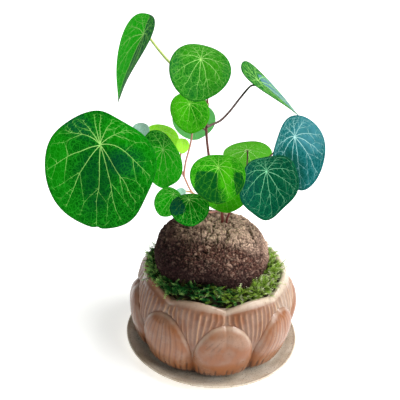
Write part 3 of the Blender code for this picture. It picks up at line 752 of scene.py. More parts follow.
@dataclass
class PetalPot:
    """The pot: eight upper petals with carved flutes, behind eight pillowed lower petals."""

    x: float = -0.5
    y: float = 1.0
    petals: int = 8
    petal_turn: float = 10.5  # a lower petal's centre, degrees from the front towards +X
    mean_r: float = 61.0
    base_z: float = 3.3
    rim_z: float = 68.0
    body: tuple = ((3.3, 50.5), (6.0, 52.3), (10.0, 54.4), (20.0, 58.0), (30.0, 60.6),
                   (40.0, 62.0), (50.0, 61.8), (58.0, 60.2), (64.0, 57.8), (68.0, 55.0))
    under: tuple = ((6.0, 5.3), (22.0, 5.3), (41.0, 5.3), (42.4, 4.9), (43.2, 3.6),
                    (44.0, 3.3), (49.4, 3.3))
    inside: tuple = ((66.0, 51.3), (62.0, 51.2), (50.0, 52.0), (30.0, 50.5), (17.0, 46.5),
                     (12.0, 42.5))
    floor: tuple = ((39.5, 11.0), (22.0, 11.0), (6.0, 11.0))
    rim_swing: float = 2.5
    rim_lift_from: float = 0.68
    row_top_z: float = 65.0
    lip: tuple = ((56.2, -1.5), (55.6, -0.5), (54.8, 0.1), (53.8, 0.25), (52.8, -0.05),
                  (52.0, -0.8), (51.6, -1.8))
    lower_ledge: float = 3.2  # how far a lower petal stands off the wall at its edge
    ledge_round: float = 3.2
    lower_relief: float = 3.0  # how much more it stands off in its middle
    lower_shoulder_z: float = 20.0
    lower_rise: float = 37.0  # of a lower petal's outline above its shoulders
    lower_taper: float = 2.0
    foot_tuck: float = 12.0
    groove: float = 0.25  # depth of the groove round the lower petals
    upper_relief: float = 1.7
    upper_rise_z: float = 24.0
    upper_rise: float = 22.0
    columns: int = 800
    lower_rows: int = 42
    upper_rows: int = 32
    flutes: int = 11  # to an upper petal
    flute_span: float = 0.92  # of the petal's width, at their tops
    flute_height: float = 0.9
    flute_half: float = 0.75  # half width of a flute's ridge
    flute_top_z: float = 65.2
    channel_depth: float = 0.3  # of the channels beside the flutes
    lines: int = 11  # to a lower petal, lengthwise
    line_depth: float = 0.4
    line_ridge: float = 0.25  # height of the ridges between the lines
    lined: tuple = (0.0, 0.75, 0.6, 0.8, 0.5, 0.7, 0.6, 0.9)  # how boldly, petal by petal
    cuts: int = 11  # to a lower petal, along its foot
    strokes: float = 11.2  # to the front petal's width, slanting
    hand: tuple = ((0.4, 16.0, 21), (0.12, 5.0, 22))  # lumps that the hand left in the wall

    @property
    def pitch(self) -> float:
        """Degrees from one petal to the next."""
        return 360.0 / self.petals

    def turn(self, angle: Array, upper: bool) -> Array:
        """Degrees from the centre of the row's first petal, which is at the front."""
        return np.degrees(angle) - self.petal_turn - (self.pitch / 2 if upper else 0.0)

    def across(self, angle: Array, upper: bool) -> Array:
        """Angle from the nearest petal's centre, as -1 to 1 across that petal."""
        half = self.pitch / 2
        return ((self.turn(angle, upper) + half) % self.pitch - half) / half

    def number(self, angle: Array, upper: bool) -> Array:
        """Which petal an angle is on, rising from the front towards +X."""
        return np.round(self.turn(angle, upper) / self.pitch).astype(int) % self.petals

    def half_petal(self) -> float:
        """Half the width of a petal on the wall."""
        return math.pi * self.mean_r / self.petals

    def edge_z(self, angle: Array) -> Array:
        """Height where the lower petals end: shoulder + rise * (1 - across^2)^(1 / taper)."""
        arch = np.clip(1.0 - self.across(angle, False) ** 2, 0.0, 1.0) ** (1 / self.lower_taper)
        return self.lower_shoulder_z + self.lower_rise * arch

    def rim_shift(self, angle: Array) -> Array:
        """How far the scalloped rim lies above its mean height."""
        return self.rim_swing * (1.0 - 2.0 * np.abs(self.across(angle, True)) ** 1.8)

    def painted_light(self, angle: Array) -> Array:
        """How far an angle faces the light on the right, from 0 to 1, as the share of painted
        light on the glaze.
        """
        return 0.5 + 0.5 * np.sin(angle)

    def inwards(self, angle: Array, z: Array) -> tuple:
        """How far inside a lower petal's outline a place is.

        Formula: the outline is where 1 - across^2 - climb^taper is 0, and that value over the
        length of its slope is about the distance to the outline.

        Args:
            angle, z: places on the wall.

        Returns:
            The value, up to 1 in the petal's middle, and the distance. Both are below 0
            outside.
        """
        climb = np.clip((z - self.lower_shoulder_z) / self.lower_rise, 0.0, 1.3)
        across = self.across(angle, False)
        value = 1.0 - across ** 2 - climb ** self.lower_taper
        steep = self.lower_taper * climb ** (self.lower_taper - 1.0) / self.lower_rise
        slope = np.hypot(2.0 * across / self.half_petal(), steep)
        return value, value / (slope + 0.01)

    def radius(self, angle: Array, z: Array) -> Array:
        """Outer radius before carving: the body curve, with both rows of petals on it.

        Formula: an upper petal adds its relief times 0.45 - across^2.2, from its rise up. A
        lower petal adds a ledge that rises from its outline as 1 - e^(-distance / round),
        and a pillow that goes with the 0.7th power of its value; a groove runs round it.

        Args:
            angle, z: places on the wall.

        Returns:
            The radius.
        """
        heights, radii = spline(self.body, 8).T
        radius = np.interp(z, heights, radii)
        rise = ease((z - self.upper_rise_z) / self.upper_rise)
        across = np.abs(self.across(angle, True))
        radius = radius + self.upper_relief * rise * (0.45 - across ** 2.2)
        foot = ease((z - self.base_z) / self.foot_tuck + 0.3)
        value, inwards = self.inwards(angle, z)
        ledge = 1.0 - np.exp(-np.clip(inwards, 0.0, None) / self.ledge_round)
        swell = self.lower_ledge * ledge + self.lower_relief * np.clip(value, 0.0, 1.0) ** 0.7
        outside = bell(inwards, 1.3) * (inwards < 0.0) * ease((z - 12.0) / 10.0)
        return radius + foot * swell - self.groove * outside

    def flute_marks(self, angle: Array, z: Array) -> tuple:
        """The raised flutes of the upper petals.

        Formula: flute n runs where across is n times the pitch times a shrink that falls
        from 1 at the top to 0.5 in the valley between two lower petals, so they fan out
        upwards; each ends at its own height and thins downwards.

        Args:
            angle, z: places on the wall.

        Returns:
            Shares from 0 to 1 for the ridge and for the channel beside it.
        """
        across = self.across(angle, True)
        across = across + 0.012 * np.sin(0.16 * z + 5.0 * angle)
        shrink = 0.5 + 0.5 * np.clip((z - 22.0) / 38.0, 0.0, 1.0)
        most = (self.flutes - 1) // 2
        pitch = self.flute_span / most * shrink
        flute = np.clip(np.round(across / pitch), -most, most)
        away = (across - flute * pitch) * self.half_petal()
        key = np.stack(np.broadcast_arrays(flute.astype(np.int64), self.number(angle, True), 0),
                       axis=-1)
        top = self.flute_top_z - 2.6 * lattice_value(key, 11) + 1.2 * np.abs(flute) / most
        start = 22.0 + 14.0 * lattice_value(key, 13)
        keep = ease((top - z) / 2.0) * ease((z - start) / 12.0)
        keep = keep * (0.4 + 0.6 * lattice_value(key, 17))
        wide = self.flute_half * (0.6 + 0.4 * shrink)
        ridge = bell(away, wide) * keep
        channel = bell(np.abs(away) - 2.0, 0.9) * ease((top + 1.0 - z) / 4.0)
        return ridge, channel * (np.abs(across) < 0.99)

    def ruled(self, phase: Array, count: float, petal: Array, kind: int) -> tuple:
        """Lines on a petal, one wherever a phase is a whole number.

        Args:
            phase: a value that grows by 1 from line to line.
            count: how many lines a petal's width holds.
            petal: the petal's number.
            kind: a number for this kind of line.

        Returns:
            The distance to the nearest line, and that line's key for the lattice values.
        """
        line = np.round(phase)
        key = np.stack(np.broadcast_arrays(line.astype(np.int64), petal, kind), axis=-1)
        return (phase - line) * 2.0 * self.half_petal() / count, key

    def petal_marks(self, angle: Array, z: Array) -> tuple:
        """The lines scored into the lower petals.

        Formula: lines lie at even shares of the petal's width, so they draw together under
        its tip; short cuts stand along the foot; and the front petal has a few slanting
        strokes instead of lines.

        Args:
            angle, z: places on the wall.

        Returns:
            Shares from 0 to 1 for scored lines and for the pale ridges between them.
        """
        inwards = self.inwards(angle, z)[1]
        across = self.across(angle, False)
        number = self.number(angle, False)
        climb = np.clip((z - self.lower_shoulder_z) / self.lower_rise, 0.0, 1.0)
        width = np.sqrt(np.clip(1.0 - climb ** self.lower_taper, 0.05, 1.0)) ** 0.8
        lean = 0.1 * np.sin(0.09 * z + number)
        off, key = self.ruled((across / width + lean) * 0.5 * self.lines, self.lines, number, 1)
        own = 0.4 + 0.6 * lattice_value(key, 19)
        body = ease((inwards - 1.5) / 3.0)
        lined = np.take(self.lined, number)
        score = 0.5 * bell(off, 0.42) * body * lined * own * ease((z - 8.0) / 6.0)
        ridge = bell(np.abs(off) - 1.5, 0.7) * body * lined * own * 0.8
        fanned = (across + 0.05) * 0.5 * self.cuts * (1.0 + 0.004 * (20.0 - z))
        off, key = self.ruled(fanned, self.cuts, number, 2)
        top = 11.0 + 8.0 * lattice_value(key, 23) + 3.0 * np.abs(across)
        cut = bell(off, 0.65) * ease((top - z) / 5.0) * ease(inwards / 1.5)
        slant = across * 0.5 * self.strokes - (z - 40.0) * 0.18
        off, key = self.ruled(slant, self.strokes, number, 3)
        stroke = bell(off, 0.5) * ease((0.27 - np.abs(across + 0.36)) / 0.08)
        stroke = stroke * ease((5.0 - np.abs(z - 42.0)) / 3.0) * (number == 0)
        return np.clip(score + cut + 0.5 * stroke, 0.0, 1.0), ridge

    def glaze(self, angle: Array, z: Array, flutes: tuple, marks: tuple) -> dict:
        """How the glaze lies on the outer wall, with painted light and shade laid into it.

        Args:
            angle, z: places on the wall.
            flutes: the ridges and channels of the upper petals.
            marks: the scored lines and ridges of the lower petals.

        Returns:
            The fields pale, warm, ridge and carved, by name: pale also holds painted light and
            highlights, and carved also holds painted shade.
        """
        (ridge, channel), (score, petal_ridge) = flutes, marks
        inwards = self.inwards(angle, z)[1]
        painted_light = self.painted_light(angle)
        petal = inwards > 0.0
        # painted highlight along the top edge of each lower petal, laid as pale glaze
        crest_highlight = bell(inwards - 0.8, 1.2) * petal * ease((z - 24.0) / 14.0)
        valley = ease((36.0 - z) / 14.0) * (1.0 - petal)
        seam = bell(np.abs(self.across(angle, True)) - 1.0, 0.12) * (1.0 - petal)
        # painted light: the lip paler where it faces the light on the right, the front lower
        # petal's upper part paler as a highlight, and the wall between the lower petals paler to
        # the right
        lip_band = ease((z - 64.2) / 2.0)
        front = petal * (self.number(angle, False) == 0) * ease((z - 26.0) / 22.0)
        pale = 0.3 * crest_highlight + 0.4 * valley + 0.25 * seam + painted_light * lip_band + 0.2 * front
        right = ease((np.sin(angle) - 0.7) / 0.25)
        pale = pale + (0.35 * right + 0.1 * painted_light) * (1.0 - petal) - 0.06 * petal
        warm = petal * (0.6 + 0.4 * ease((26.0 - z) / 18.0))
        # painted shade: the left side darkened with the carved colour
        painted_shade_left = ease(-1.2 * np.sin(angle) - 0.2)
        # painted shade, laid with the carving's colour: dark at the foot where the pot meets the
        # saucer, a faint dark line round each lower petal, and darker channels beside the flutes;
        # the scored lines and cuts are real carving
        foot = ease((8.5 - z) / 4.5)
        carved = 0.85 * score + 0.95 * foot + 0.06 * bell(inwards, 0.5) + 0.14 * channel
        return {"pale": np.clip(pale, 0.0, 1.0), "warm": warm,
                "ridge": 0.6 * ridge ** 1.5 + 0.3 * petal_ridge,
                "carved": np.clip(carved + 0.36 * painted_shade_left, 0.0, 1.0)}

    def surface(self) -> Surface:
        """The whole pot as one closed ring of rows.

        Returns:
            Rows from the drain hole under the foot, up outside past both rows of petals, over
            the lip, down inside and over the floor, back to the drain hole, with the glaze's
            fields pale, warm, ridge and carved.
        """
        angle = around(self.columns)[None]
        shift = self.rim_shift(angle)
        edge = self.edge_z(angle)
        low = 1.0 - (1.0 - np.linspace(0.0, 1.0, self.lower_rows)[:, None]) ** 1.45
        up = np.linspace(0.0, 1.0, self.upper_rows + 1)[1:, None] ** 1.25
        z = np.vstack([self.base_z + low * (edge - self.base_z),
                       edge + up * (self.row_top_z - edge)])
        outer_wall = ease(-self.inwards(angle, z)[1])
        ridge, channel = (mark * outer_wall for mark in self.flute_marks(angle, z))
        score, petal_ridge = self.petal_marks(angle, z)
        radius = self.radius(angle, z) + self.flute_height * ridge - self.channel_depth * channel
        radius = radius - self.line_depth * score + self.line_ridge * petal_ridge
        lift_from = self.rim_lift_from
        lift = shift * ease((z / self.rim_z - lift_from) / (1.0 - lift_from))
        outer = turned(angle, radius, z + lift, self.x, self.y)
        outer = outer + lumps(outer, self.hand)[..., None] * turned(angle, 1.0, 0.0)
        under_r, under_z = spline(self.under, 2).T[:, :, None]
        lip_r, lip_over = spline(self.lip, 2).T[:, :, None]
        inside_z, inside_r = np.array(self.inside).T[:, :, None]
        floor_r, floor_z = np.array(self.floor).T[:, :, None]
        place = (self.x, self.y)
        before = turned(angle, under_r, under_z, *place)
        after = np.vstack([turned(angle, lip_r, self.rim_z + lip_over + shift, *place),
                           turned(angle, inside_r, inside_z, *place),
                           turned(angle, floor_r, floor_z, *place)])
        # painted light: the lip and inside are paler where they face the light on the right
        ends = {"pale": (0.8, self.painted_light(angle)), "warm": (0.0, 0.1), "ridge": (0.0, 0.0),
                "carved": (0.0, 0.0)}
        wall = self.glaze(angle, z, (ridge, channel), (score, petal_ridge))
        grids = {name: np.vstack([np.full(before.shape[:2], first), wall[name],
                                  np.full(after.shape[:2], last, float)])
                 for name, (first, last) in ends.items()}
        return skin(np.vstack([before, outer, after]), ring=True, **grids)

    def build(self) -> None:
        """Makes the pot."""
        self.surface().piece("petal_pot", CarvedGlaze().material(), "carved_clay", "pot")


@dataclass
class Soil:
    """The potting soil under the moss: the frame's own solid, hardly seen, and dressed."""

    node: str = "soil"

    def build(self) -> None:
        """Dresses the frame's node."""
        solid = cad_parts[self.node]
        solid.data.materials.clear()
        solid.data.materials.append(PottingSoil().material())
        log.info("%s: the frame's own, dressed", self.node)


@dataclass
class Caudex:
    """The round corky caudex, with two hips, a notch between them, and a cracked crown."""

    x: float = -5.0
    y: float = 2.0
    outline: tuple = ((50.0, 21.0), (51.8, 28.0), (55.5, 33.5), (61.0, 37.6), (66.5, 40.4),
                      (73.0, 42.8), (79.5, 44.2), (86.0, 44.2), (92.0, 42.4), (97.0, 38.6),
                      (101.0, 33.2), (104.2, 26.2), (106.7, 18.0), (108.2, 9.5), (108.7, 2.0))
    half_width: float = 44.0
    columns: int = 440
    rows: int = 180
    lumps: tuple = ((0.75, 13.0, 51), (0.45, 5.5, 52), (0.35, 2.2, 53))
    plate_size: float = 2.4
    plate_lift: float = 0.6  # most that one plate stands above another
    plate_warp: float = 1.9  # how far their edges stray from straight lines
    crack_width: float = 0.3  # as a share of a plate
    crack_depth: float = 1.1
    crown_z: float = 97.0  # where the long scales of the crown begin
    crown_size: float = 5.0
    crown_lift: float = 2.2
    crown_depth: float = 2.1
    crown_crack: float = 0.17  # width of a crack there, as a share of a scale
    scale_way: tuple = ((0.85, 0.5, 0.0), (-0.26, 0.43, 0.0), (0.0, 0.0, 1.0))  # their stretch
    # where the painted highlight by the stems lies, and its size
    painted_highlight_place: tuple = (9.0, -6.0)  # the pale patch by the stems, from the caudex's axis
    painted_highlight_size: float = 13.0

    def lobes(self, angle: Array, z: Array) -> Array:
        """The caudex's hips, the notch between them in front, and its slow bumps.

        Args:
            angle, z: places on the caudex.

        Returns:
            What its radius is multiplied by: hips and notch low, a bump high, and sines of 3
            and 5 times the angle all over.
        """
        low = ease((92.0 - z) / 34.0)
        high = ease((z - 84.0) / 26.0)
        notch = bell(wrapped(angle - 0.06), 0.34)
        hips = 0.035 * np.cos(2.0 * (angle - 1.2)) - 0.13 * notch
        bumps = 0.011 * (np.sin(5.0 * angle + 0.08 * z) + np.sin(3.0 * angle - 0.11 * z))
        return 1.0 + low * hips + high * 0.02 * np.cos(angle - 2.4) + bumps

    def profile(self) -> tuple:
        """Radius and height of each row, spaced evenly along the outline.

        Returns:
            Two columns, of radii and of heights, from the bottom's rim to the top.
        """
        z, radius = spline(self.outline, 12).T
        way = np.concatenate([[0.0], np.cumsum(np.hypot(np.diff(z), np.diff(radius)))])
        even = np.linspace(0.0, 1.0, self.rows) ** 0.93 * way[-1]
        return np.interp(even, way, radius)[:, None], np.interp(even, way, z)[:, None]

    def surface(self) -> Surface:
        """The caudex with its bark.

        Returns:
            The outline turned and swelled by its lobes, then pushed along its radius by slow
            lumps and cut by two nets of cracks: small plates round the sides, and long scales
            that point to the crown on top. Fields: crack, which also holds painted shade in the
            notch and low on the left; a pale field, paler on top, to the right and by the stems
            as painted light; and a purplish field, darker below and to the left, partly as
            painted shade.
        """
        angle = around(self.columns)[None]
        radius, z = self.profile()
        plain = turned(angle, radius * self.lobes(angle, z), z)
        stray = [slow_noise(plain, 3.2, seed) for seed in (31, 32, 33)]
        warp = self.plate_warp * np.stack(stray, axis=-1)
        gap, number = plates((plain + warp) * (1.0, 1.0, 1.2), self.plate_size, 41)
        crack = 1.0 - ease(gap / self.crack_width)
        crown = ease((z + 5.0 * slow_noise(plain, 9.0, 36) - self.crown_z) / 8.0)
        bent = (plain + 2.0 * warp) @ np.array(self.scale_way)
        long_gap, scale = plates(bent, self.crown_size, 47)
        long_crack = (1.0 - ease(long_gap / self.crown_crack)) * crown
        push = lumps(plain, self.lumps) - self.crack_depth * crack * (1.0 - 0.5 * crown)
        push = push + self.plate_lift * (number - 0.5)
        push = push + crown * (self.crown_lift * (scale - 0.5) - self.crown_depth * long_crack)
        normal = unit(np.cross(np.roll(plain, -1, axis=1) - np.roll(plain, 1, axis=1),
                               np.gradient(plain, axis=0)))
        rows = plain + push[..., None] * normal + (self.x, self.y, 0.0)
        right = plain[..., 0] / self.half_width
        back = plain[..., 1] / self.half_width
        # painted highlight on the bark by the stems
        painted_highlight = bell(np.hypot(*(plain[..., k] - self.painted_highlight_place[k] for k in (0, 1))),
                      self.painted_highlight_size)
        # painted light: the bark paler on top, to the right, towards the back and by the stems
        tan = ease((z - 99.0) / 13.0 + 1.7 * np.clip(right - 0.25, 0.0, 1.0) + 0.35 * back
                   + 0.5 * slow_noise(plain, 9.0, 61) + 0.8 * painted_highlight * ease((z - 92.0) / 6.0))
        # painted light: the crown's plates lightened and its cracks eased
        top = ease((z - 101.0) / 5.0)
        number = number + (1.0 - number) * 0.6 * top
        fleck = 0.3 * ease((number - 0.6) / 0.3) * ease((z - 66.0) / 20.0)
        tan = np.maximum(tan * (0.6 + 0.4 * number), fleck)
        # painted shade in the notch between the hips
        valley = bell(wrapped(angle - 0.1), 0.3) * ease((100.0 - z) / 16.0)
        # darker below and to the left: partly the bark's own colour and partly painted shade
        purple = ease((102.0 - z) / 20.0 - 0.8 * right + 0.3 * slow_noise(plain, 8.0, 62))
        shown = np.clip(0.95 * crack * (1.0 - 0.55 * crown) + long_crack, 0.0, 1.0)
        shown = shown * (1.0 - 0.15 * top)
        # painted shade low on the left side; it and the notch go into the field crack with the
        # real cracks
        low = 0.4 * ease((97.0 - z) / 14.0) * (1.0 - ease((right - 0.1) / 0.4))
        dark = np.maximum(0.95 * shown * (1.0 - 0.1 * tan), np.maximum(0.6 * valley, low))
        return skin(rows, crack=dark, tan=tan, purple=0.7 * purple)

    def build(self) -> None:
        """Makes the caudex."""
        self.surface().piece("caudex_bark", CorkBark().material(), "bark", "caudex")


@dataclass
class MossBed:
    """Moss round the caudex: a lumpy cushion, thickly set with feathery fronds."""

    pot: PetalPot
    caudex: Caudex
    fronds: int = 1600
    length: tuple = (8.0, 14.0)
    width: float = 2.2
    thickness: float = 0.16  # half that of a spine at its foot
    pairs: int = 9
    clump: float = 6.0  # distance between the moss's lumps
    wall_r: float = 50.6
    edge_z: float = 66.2
    crest_z: float = 69.6
    inner_z: float = 67.5
    pile: float = 7.5  # how much higher it lies in the notch of the caudex
    base_z: float = 61.3
    columns: int = 256
    rows: int = 14
    green: float = 0.94  # share of the fronds that haven't gone brown
    seed: int = 7

    def ground(self, angle: Array, share: Array) -> Array:
        """Points of the cushion, at a share of the way from the pot to the caudex.

        Args:
            angle: radians about the pot's axis.
            share: 0 at the pot's wall and 1 at the caudex.

        Returns:
            The points, with a height that bulges as the sine of pi times the share.
        """
        edge_z = self.edge_z + 0.7 * self.pot.rim_shift(angle)
        wall = turned(angle, self.wall_r, edge_z, self.pot.x, self.pot.y)
        seat_z = self.inner_z + self.pile * bell(wrapped(angle + 0.2), 0.4)
        seat_r = np.interp(seat_z, *np.array(self.caudex.outline).T)
        seat = turned(angle, seat_r * self.caudex.lobes(angle, seat_z) + 0.6, seat_z,
                      self.caudex.x, self.caudex.y)
        points = wall + (seat - wall) * share[..., None]
        swell = np.clip(np.sin(math.pi * share), 0.0, 1.0) ** 0.7
        points[..., 2] += (self.crest_z - self.edge_z) * swell * (1.0 - 0.5 * share)
        points[..., 2] += 1.5 * slow_noise(points, self.clump, 72)
        return points

    def cushion(self) -> Surface:
        """The ring of matted moss under the fronds, closed below.

        Returns:
            Its surface, with the fields height and dry.
        """
        angle, share = np.meshgrid(around(self.columns), np.linspace(0.0, 1.0, self.rows))
        top = self.ground(angle, share)
        top[..., 2] += 0.7 * slow_noise(top, 2.6, 71) - 1.2
        low = top[[-1, 0]].copy()
        low[..., 2] = self.base_z
        rows = np.concatenate([low, top])
        # the cushion takes nearly the dark foot colour: partly the matted moss's own colour and
        # partly painted shade under the fronds
        dark = np.zeros(rows.shape[:2])
        return skin(rows, ring=True, height=dark + 0.05, dry=dark + 0.25)

    def tuft(self, draw: np.random.Generator, count: int, sunny: bool) -> Surface:
        """Fronds on one side of the bed, all at once.

        Formula: a frond's spine is its base plus the length times (way * s - sag * s^2 up +
        sway * s^2 sideways); on it stand pairs of leaflets, each a thin four-faced blade whose
        reach follows the sine of the way along.

        Args:
            draw: where the random numbers come from.
            count: how many fronds.
            sunny: whether they stand on the right, and so take the copy painted as in sunlight.

        Returns:
            The fronds as closed solids, with the fields height and dry.
        """
        turn = draw.uniform(0.0, 2.0 * math.pi, 3 * count)
        # fronds on the right, facing the light, go to the copy painted as in sunlight
        light = np.sin(turn) + 0.35 * draw.uniform(-1.0, 1.0, 3 * count) - 0.15
        turn = turn[(light > 0.0) == sunny][:count]
        many = len(turn)
        share = draw.uniform(0.02, 1.0, many) ** 0.9
        base = self.ground(turn, share)
        base[:, 2] -= 0.6
        outward = turned(turn, 1.0, 0.0)
        tangent = turned(turn + math.pi / 2, 1.0, 0.0)
        lean = draw.uniform(-0.9, 0.9, many) + 0.7 * (share - 0.4)
        way = unit(outward * lean[:, None] + tangent * draw.uniform(-1.2, 1.2, (many, 1))
                   + UP * draw.uniform(0.3, 1.0, (many, 1)))
        side = unit(np.cross(way, UP) + 0.25 * draw.normal(size=way.shape))
        side = unit(side - way * (side * way).sum(1, keepdims=True))
        length, sag, sway = (draw.uniform(low, high, (many, 1, 1)) for low, high in
                             (self.length, (0.05, 0.5), (-0.25, 0.25)))
        tall = draw.uniform(0.4, 1.0, (many, 1))
        tall = tall + 0.25 * slow_noise(base, self.clump, 72)[:, None]
        # painted light and shade: fronds to the left are painted lighter and those at the front
        # darker
        front, left = (bell(wrapped(turn + away), 0.5) for away in (0.0, 1.3))
        tall = tall + (0.25 * left - 0.14 * front)[:, None]
        brown = (draw.uniform(size=(many, 1)) > self.green) * 0.8

        def spine(s: Array) -> Array:
            """Points of every spine at the shares s of the way along it."""
            s = s[None, :, None]
            return base[:, None] + length * (way[:, None] * s - sag * s ** 2 * UP
                                             + sway * s ** 2 * side[:, None])

        def part(points: Array, faces: list, height: Array) -> Surface:
            """A surface of all the fronds' points, with its fields height and dry."""
            dry = np.broadcast_to(brown[:, :, None], height.shape)
            return Surface(points.reshape(-1, 3), faces,
                           {"height": height.ravel(), "dry": dry.ravel()})

        across = np.cross(way, side)
        along = np.linspace(0.0, 1.0, 4)
        thick = self.thickness * (1.0 - 0.75 * along)[None, :, None, None]
        corner = around(3)
        ring_way = (np.cos(corner)[:, None] * side[:, None, None]
                    + np.sin(corner)[:, None] * across[:, None, None])
        rows = spine(along)[:, :, None] + thick * ring_way
        number = np.arange(many * 12).reshape(many, 4, 3)
        ahead = np.roll(number, -1, axis=2)
        quads = np.stack([number[:, :-1], ahead[:, :-1], ahead[:, 1:], number[:, 1:]], axis=-1)
        height = np.broadcast_to(tall[:, :, None] * along[None, :, None], (many, 4, 3))
        parts = [part(rows, [quads.reshape(-1, 4), number[:, 0, ::-1], number[:, -1]], height)]
        at = (np.arange(self.pairs) + 0.75) / (self.pairs + 0.1)
        middle = spine(at)
        forward = unit(spine(at + 0.02) - middle)
        reach = (self.width * (0.35 + 0.65 * np.sin(math.pi * (0.12 + 0.82 * at)))[None, :, None]
                 * draw.uniform(0.75, 1.15, (many, self.pairs, 1)))
        root = 0.36 * (length / self.length[1]) + 0.08
        for sign in (1.0, -1.0):
            a = middle - root * forward
            b = middle + root * forward
            c = middle + 0.14 * across[:, None]
            tip = middle + reach * (sign * 0.85 * side[:, None] + 0.62 * forward
                                    + 0.12 * across[:, None])
            points = np.stack([a, b, c, tip], axis=2)
            first = np.arange(many * self.pairs)[:, None] * 4
            faces = np.array(((0, 3, 1), (1, 3, 2), (2, 3, 0), (0, 1, 2)))
            faces = faces[:, ::-1] if sign > 0 else faces
            level = tall[:, :, None] * np.stack([at, at, at, at + 0.2], axis=-1)[None]
            faces = (first[:, :, None] + faces[None]).reshape(-1, 3)
            parts.append(part(points, [faces], level))
        return Surface.joined(parts)

    def build(self) -> None:
        """Makes the cushion and the fronds of both sides."""
        draw = np.random.default_rng(self.seed)
        # two copies of one moss: one painted in shade, one painted as in sunlight, with a
        # near-white tip as a painted highlight
        shady = MossGreen("moss_painted_shade", tint(0, 6, 4), tint(26, 128, 44),
                          tint(206, 255, 146)).material()
        sunny = MossGreen("moss_painted_sunlight", tint(6, 26, 4), tint(176, 222, 74),
                          tint(255, 255, 212)).material()
        self.cushion().piece("moss_cushion", shady, "moss_green", "moss")
        for name, finish in (("moss_fronds_painted_shade", shady), ("moss_fronds_painted_sunlight", sunny)):
            fronds = self.tuft(draw, self.fronds // 2, finish is sunny)
            fronds.piece(name, finish, "moss_green", "moss")


@dataclass(frozen=True)
class Patch:
    """A soft-edged ellipse of painted light, shade and sky reflection on a blade.

    Its centre and half sizes are shares of the blade's width and length, from the navel: u
    towards the plant's left seen from the front, v towards the tip.
    """

    u: float
    v: float
    half_u: float
    half_v: float
    # tone: painted light above 0 and painted shade below; blue: painted sky reflection
    tone: float
    blue: float = 0.0
    soft: float = 1.0  # share of its half size over which it fades
    turn: float = 0.0  # degrees
    square: float = 2.0  # 2 for an ellipse, and more for a box with rounded corners

    def share(self, u: Array, v: Array) -> Array:
        """How much of the patch there is at a place.

        Formula: the place's shares along and across the turned patch, each to the power
        square, are added, and the root of the sum is 1 on the outline.

        Args:
            u, v: places, as shares of the blade's width and length.

        Returns:
            1 inside the patch and 0 outside it, with a smooth step between.
        """
        turn = math.radians(self.turn)
        off_u, off_v = u - self.u, v - self.v
        along = np.abs(off_u * math.cos(turn) + off_v * math.sin(turn)) / self.half_u
        aside = np.abs(off_v * math.cos(turn) - off_u * math.sin(turn)) / self.half_v
        far = (along ** self.square + aside ** self.square) ** (1.0 / self.square)
        return ease((1.0 + 0.5 * self.soft - far) / self.soft)


class Fan(Enum):
    """How a blade's main veins leave its navel.

    Each vein is the direction in which it starts, the one in which it ends, and its reach:
    degrees from the tip towards the plant's left, and the share of the way to the margin.
    """

    LARGE = ((0, 0, 0.98), (42, 27, 0.93), (76, 62, 0.97), (146, 108, 0.86), (152, 142, 0.84),
             (163, 167, 0.9), (178, 179, 0.9), (-171, -157, 0.88), (-143, -124, 0.84),
             (-116, -64, 0.93), (-43, -36, 0.9), (-21, -18, 0.93))
    COMMON = ((0, 0, 0.97), (34, 24, 0.93), (76, 53, 0.92), (122, 88, 0.9), (156, 138, 0.86),
              (179, 180, 0.88), (-154, -136, 0.86), (-120, -86, 0.9), (-74, -50, 0.92),
              (-32, -23, 0.93))
    YOUNG = ((0, 0, 0.95), (40, 30, 0.9), (100, 75, 0.88), (160, 150, 0.85),
             (-158, -148, 0.85), (-98, -74, 0.88), (-38, -29, 0.9))


